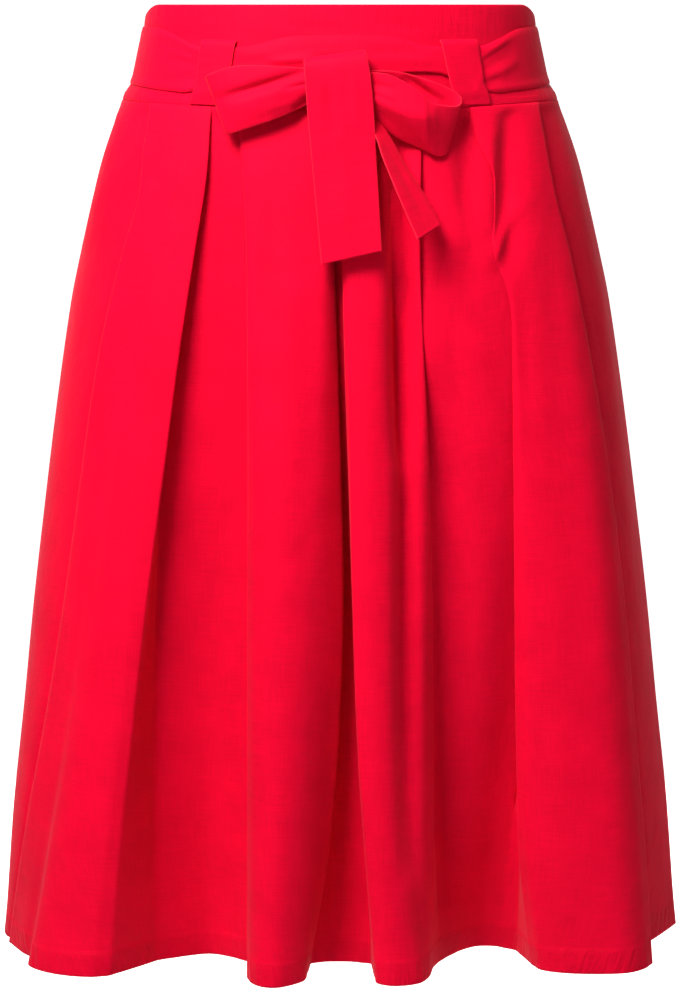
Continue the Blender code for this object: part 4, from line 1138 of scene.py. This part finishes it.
RIGHT_CREASES = [
    Crease(18, -61, 46, -75, 2.4, -1),
    Crease(18, -66, 52, -92, 4, 1.2),
    Crease(16, -52, 40, -58, 2.2, 1),
    Crease(18, -56, 38, -64, 1.6, -0.7),
    Crease(58, -60, 61, -102, 1.8, -0.7),
]
INSIDE_CREASES = [
    Crease(24, -46, 50, -56, 2, 1.6),
    Crease(44, -48, 68, -66, 2.6, 2.6),
    Crease(58, -50, 72, -64, 2.6, -1.6),
]
TAIL_CREASES = [
    Crease(-8, -44, -4, -92, 4, 0.7),
    Crease(8, -40, 12, -84, 3.4, -0.6),
    Crease(0, -96, 6, -150, 5, -0.5),
    Crease(-14, -50, -14, -80, 3, -0.5),
]
UNDER_CREASES = [
    Crease(24, -84, 58, -146, 2.6, 0.9),
    Crease(32, -92, 64, -144, 2.6, -0.6),
]


def ribbon_grid(table):
    """Smooth strip through the rows of a table, with stations evenly spaced."""
    stations = list(range(len(table)))
    columns = list(zip(*table))
    middles = [np.array([(r.ax + r.bx) / 2, (r.ay + r.by) / 2, (r.az + r.bz) / 2])
               for r in table]
    walked = np.cumsum([0.0] + [float(np.linalg.norm(b - a)) for a, b in
                                zip(middles, middles[1:])])
    rows = []
    for at in np.linspace(0.0, walked[-1], int(walked[-1] / RIBBON_STEP)):
        s = float(np.interp(at, walked, stations))
        ax, ay, az, bx, by, bz, belly, peak = [look_up(stations, c, s) for c in columns]
        v = np.linspace(0.0, 1.0, RIBBON_COLUMNS)
        off = np.abs(v - peak) / np.where(v < peak, peak, 1.0 - peak)
        forward = belly * (1.0 - off**1.35)
        rows.append(np.stack([ax + (bx - ax) * v, ay + (by - ay) * v - forward,
                              az + (bz - az) * v], axis=1))
    return np.array(rows)


def ribbon(node, table, creases, held, inside=()):
    """One part of the bow. A loop has other creases inside, in the half that turns back."""
    grid = ribbon_grid(table)
    dent = creased(grid[..., 0], grid[..., 2], creases)
    if held == "folded":
        half = len(dent) // 2
        dent[half:] = creased(grid[half:, :, 0], grid[half:, :, 2], inside)
    piece = flat_tube(node + "_cloth", dented(grid, dent), RIBBON_HALF)
    fasten(piece, sash_cotton, node)


ribbon("bow_loop_left", LOOP_LEFT, LEFT_CREASES, "folded")
ribbon("bow_loop_right", LOOP_RIGHT, RIGHT_CREASES, "folded",
       INSIDE_CREASES)
ribbon("sash_tail_front", TAIL_FRONT, TAIL_CREASES, "hung")
ribbon("sash_tail_under", TAIL_UNDER, UNDER_CREASES, "hung")

# ------------------------------------------------------------------------------------
# Knot. The sash is drawn tight in one turn behind the front tail, so it shows as a short
# wad of folded cloth.
KNOT_CENTRE = (0.0, -112.7, -52.5)
KNOT_HALF = (16.4, 9.0, 12.6)
KNOT_POWER, KNOT_SHRINK = 0.6, 0.08
KNOT_CUT = (0.07, 0.033)
bpy.ops.object.select_all(action="DESELECT")
bpy.ops.mesh.primitive_uv_sphere_add(segments=96, ring_count=48, rotation=(0, math.pi / 2, 0))
knot = bpy.context.object
bpy.ops.object.transform_apply(location=False, rotation=True, scale=True)
knot.name = knot.data.name = "bow_knot_cloth"
for vertex in knot.data.vertices:
    x, y, z = vertex.co
    turn = math.atan2(z, y)
    waist = 1.0 - abs(x)
    folds = 0.07 * math.cos(7 * turn + 0.6 * x) + 0.04 * math.cos(12 * turn + 2.0 * x)
    size = 1.0 - KNOT_SHRINK + folds * (0.5 + 0.5 * waist)
    vertex.co = [(centre + half * signed_power(value, KNOT_POWER) * scale) * MM
                 for centre, half, value, scale in
                 zip(KNOT_CENTRE, KNOT_HALF, (x, y, z), (1.0, size, size))]
knot.data.uv_layers[0].name = "cut"
for corner in knot.data.uv_layers["cut"].data:
    corner.uv = (corner.uv[0] * KNOT_CUT[0], corner.uv[1] * KNOT_CUT[1])
bpy.ops.object.shade_smooth()
fasten(knot, sash_cotton, "bow_knot")

# ------------------------------------------------------------------------------------
# Concealed zip. A woven tape with a nylon coil is sewn inside the left side seam, and is
# closed up to just under the top edge.
TAPE_HALF_WIDTH, TAPE_WALL, TAPE_INSET, TAPE_BEHIND_PLEATS = 9.0, 0.7, 2.3, 1.85
TAPE_TOP, TAPE_END = -13.0, -190.0
TAPE_ROWS, TAPE_COLUMNS = 60, 9
# Round the waist seam, the tape goes over from the inside of the band to that of the panel.
BAND_END, PANEL_START, CROSS_FROM, CROSS_OVER = -66.3, -66.5, -72.0, 14.0
COIL_STEP, COIL_WIDTH, COIL_THICK, COIL_SUNK = 1.5, 2.6, 0.8, 0.1
TOOTH_SHARE, TOOTH_BEVEL = 0.62, 0.25


def inside_side(z, aside, gap):
    """Point just inside the left side seam, aside along the seam's curve."""
    ring = skirt_ring(z)
    angle = ring_angle(ring, -ring[0], aside)
    if z > BAND_PROFILE[-1].z:
        return ring_offset(band_ring(z, math.pi / 2), angle, -BAND_WALL - gap)
    return ring_offset(ring, angle, -TAPE_BEHIND_PLEATS - gap)


def tape_grid():
    rows = []
    for z in np.linspace(TAPE_TOP, TAPE_END, TAPE_ROWS):
        blend = unit((z - CROSS_FROM) / CROSS_OVER)
        row = []
        for aside in np.linspace(-TAPE_HALF_WIDTH, TAPE_HALF_WIDTH, TAPE_COLUMNS):
            low = inside_side(min(z, PANEL_START), aside, TAPE_INSET)
            high = inside_side(max(z, BAND_END), aside, TAPE_INSET)
            row.append((low[0] + (high[0] - low[0]) * blend,
                        low[1] + (high[1] - low[1]) * blend, z))
        rows.append(row)
    return np.array(rows)


# Dull twill tape.
tape_red = fine_finish(
    "woven_tape", ON_CUT,
    ("ShaderNodeTexWave", {"bands_direction": "DIAGONAL"}, {"Scale": 240.0, "Distortion": 0.4}),
    (0.45, 0.003, 0.016, 1.0), (0.62, 0.005, 0.026, 1.0), (0.6, 0.0002), {"Roughness": 0.8})
tape = tape_grid()
side_zip = cloth_piece("side_zip_tape", tape, TAPE_WALL)
fasten(side_zip, tape_red, "side_zip")

# The coil: small nylon teeth along the middle of the tape.
behind = tape - out_of(tape) * (TAPE_WALL / 2 + COIL_THICK / 2 - COIL_SUNK)
middle = behind[:, TAPE_COLUMNS // 2]
fallen = walk(middle)
bpy.ops.object.select_all(action="DESELECT")
bpy.ops.mesh.primitive_cube_add(size=1.0)
tooth = bpy.context.object
tooth.scale = (COIL_THICK * MM, COIL_WIDTH * MM, COIL_STEP * TOOTH_SHARE * MM)
bpy.ops.object.transform_apply(location=False, rotation=False, scale=True)
rounding = tooth.modifiers.new("round", "BEVEL")
rounding.width = TOOTH_BEVEL * MM
rounding.segments = 2
bpy.ops.object.modifier_apply(modifier="round")
tooth_verts = np.array([v.co for v in tooth.data.vertices])
tooth_faces = [tuple(p.vertices) for p in tooth.data.polygons]
bpy.data.objects.remove(tooth)
coil_verts, coil_faces = [], []
for at in np.arange(COIL_STEP * 6, fallen[-1] - COIL_STEP * 2, COIL_STEP):
    centre = point_at(middle, fallen, at)
    first = len(coil_verts)
    coil_verts += (tooth_verts + centre * MM).tolist()
    coil_faces += [tuple(first + v for v in face) for face in tooth_faces]
mesh = bpy.data.meshes.new("side_zip_coil")
mesh.from_pydata(coil_verts, [], coil_faces)
coil = bpy.data.objects.new("side_zip_coil", mesh)
bpy.context.scene.collection.objects.link(coil)
fasten(coil, thread_red)

# ------------------------------------------------------------------------------------
# Zip slider. A small cast body in red enamel that stands at the top of the closed zip. Its
# pull tab is turned in behind it and isn't modelled.
SLIDER_SIZE, SLIDER_BEVEL = (2.4, 5.2, 8.3), 0.7
bpy.ops.object.select_all(action="DESELECT")
low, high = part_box("zip_slider")
bpy.ops.mesh.primitive_cube_add(size=1.0, location=(low + high) / 2)
slider = bpy.context.object
slider.name = slider.data.name = "zip_slider_body"
slider.scale = [side * MM for side in SLIDER_SIZE]
bpy.ops.object.transform_apply(location=True, rotation=False, scale=True)
bpy.ops.object.mode_set(mode="EDIT")
bpy.ops.mesh.select_all(action="SELECT")
bpy.ops.mesh.bevel(offset=SLIDER_BEVEL * MM, segments=3, affect="EDGES")
bpy.ops.object.mode_set(mode="OBJECT")
bpy.ops.object.shade_smooth_by_angle(angle=math.radians(40))

# Cast zinc under red enamel, with a fine orange-peel.
enamel_red = fine_finish(
    "red_enamel", ON_OBJECT, ("ShaderNodeTexNoise", {}, {"Scale": 900.0, "Detail": 2.0}),
    (0.36, 0.004, 0.014, 1.0), (0.48, 0.008, 0.022, 1.0), (0.2, 0.0001),
    {"Roughness": 0.32, "Coat Weight": 0.4})
fasten(slider, enamel_red, "zip_slider")

# ------------------------------------------------------------------------------------
# Studio. A plain pale floor in a round room that shows pure white, floor and all, soft
# light from the upper left with a wide glow behind and weak fills from below and from the
# right, and the camera at the height of the waist, tilted a little down.
FLOOR_Z, FLOOR_HALF = -1.25, 6.0
ROOM_RADIUS, ROOM_SIDES, ROOM_LIFT = 14.0, 48, 0.01
CAMERA_BACK, CAMERA_TILT = 2.6, 7.76


def studio_paper(name, verts, faces, glow):
    """Matt pale paper that isn't part of the skirt. It gives off light of its own by glow."""
    mesh = bpy.data.meshes.new(name)
    mesh.from_pydata(verts, [], faces)
    mesh.materials.append(new_finish(name, {
        "Base Color": (0.85, 0.85, 0.85, 1.0), "Roughness": 0.9,
        "Emission Color": (1.0, 1.0, 1.0, 1.0), "Emission Strength": glow})[0])
    sheet = bpy.data.objects.new(name, mesh)
    bpy.context.scene.collection.objects.link(sheet)
    return sheet


corners = ((-1, -1), (1, -1), (1, 1), (-1, 1))
studio_paper("studio_floor", [(x * FLOOR_HALF, y * FLOOR_HALF, FLOOR_Z) for x, y in corners],
             [(0, 1, 2, 3)], 0.0)
turns = [2 * math.pi * k / ROOM_SIDES for k in range(ROOM_SIDES)]
wall = [(math.cos(turn) * ROOM_RADIUS, math.sin(turn) * ROOM_RADIUS, z)
        for z in (FLOOR_Z + ROOM_LIFT, ROOM_RADIUS) for turn in turns]
panes = [(k, k + ROOM_SIDES, (k + 1) % ROOM_SIDES + ROOM_SIDES, (k + 1) % ROOM_SIDES)
         for k in range(ROOM_SIDES)]
bottom = tuple(range(ROOM_SIDES))
ceiling = tuple(reversed(range(ROOM_SIDES, 2 * ROOM_SIDES)))
room = studio_paper("studio_room", wall, panes + [bottom, ceiling], 1.0)
room.visible_diffuse = room.visible_glossy = room.visible_shadow = False

scene = bpy.context.scene
world = bpy.data.worlds.new("studio")
world.use_nodes = True
backdrop = world.node_tree.nodes["Background"]
backdrop.inputs["Color"].default_value = (1.0, 1.0, 1.0, 1.0)
backdrop.inputs["Strength"].default_value = 0.15
scene.world = world
scene.view_settings.view_transform = "Standard"


def soft_box(name, place, towards, size, power):
    """Large soft light, aimed at a point."""
    lamp = bpy.data.lights.new(name, "AREA")
    lamp.shape = "RECTANGLE"
    lamp.size, lamp.size_y = size
    lamp.energy = power
    light = bpy.data.objects.new(name, lamp)
    light.location = place
    aim = np.subtract(towards, place)
    light.rotation_euler = (math.atan2(math.hypot(aim[0], aim[1]), -aim[2]), 0.0,
                            math.atan2(aim[1], aim[0]) - math.pi / 2)
    scene.collection.objects.link(light)


soft_box("key_light", (-0.58, -0.93, 1.05), (0.0, 0.0, -0.25), (0.7, 0.7), 59.0)
soft_box("low_fill", (-0.9, -1.9, -0.7), (0.0, 0.0, -0.55), (0.8, 0.8), 4.0)
soft_box("right_fill", (2.2, -0.7, 0.1), (0.0, 0.0, -0.3), (0.8, 1.3), 7.0)
soft_box("back_glow", (0.0, 3.1, 1.1), (0.0, 0.0, 1.1), (5.8, 4.7), 118.0)

lens = bpy.data.cameras.new("camera")
lens.lens = 130.8
lens.sensor_width = 36.0
lens.clip_end = 50.0
camera = bpy.data.objects.new("camera", lens)
camera.location = (0.0, -CAMERA_BACK, 0.0)
camera.rotation_euler = (math.radians(90.0 - CAMERA_TILT), 0.0, 0.0)
scene.collection.objects.link(camera)
scene.camera = camera
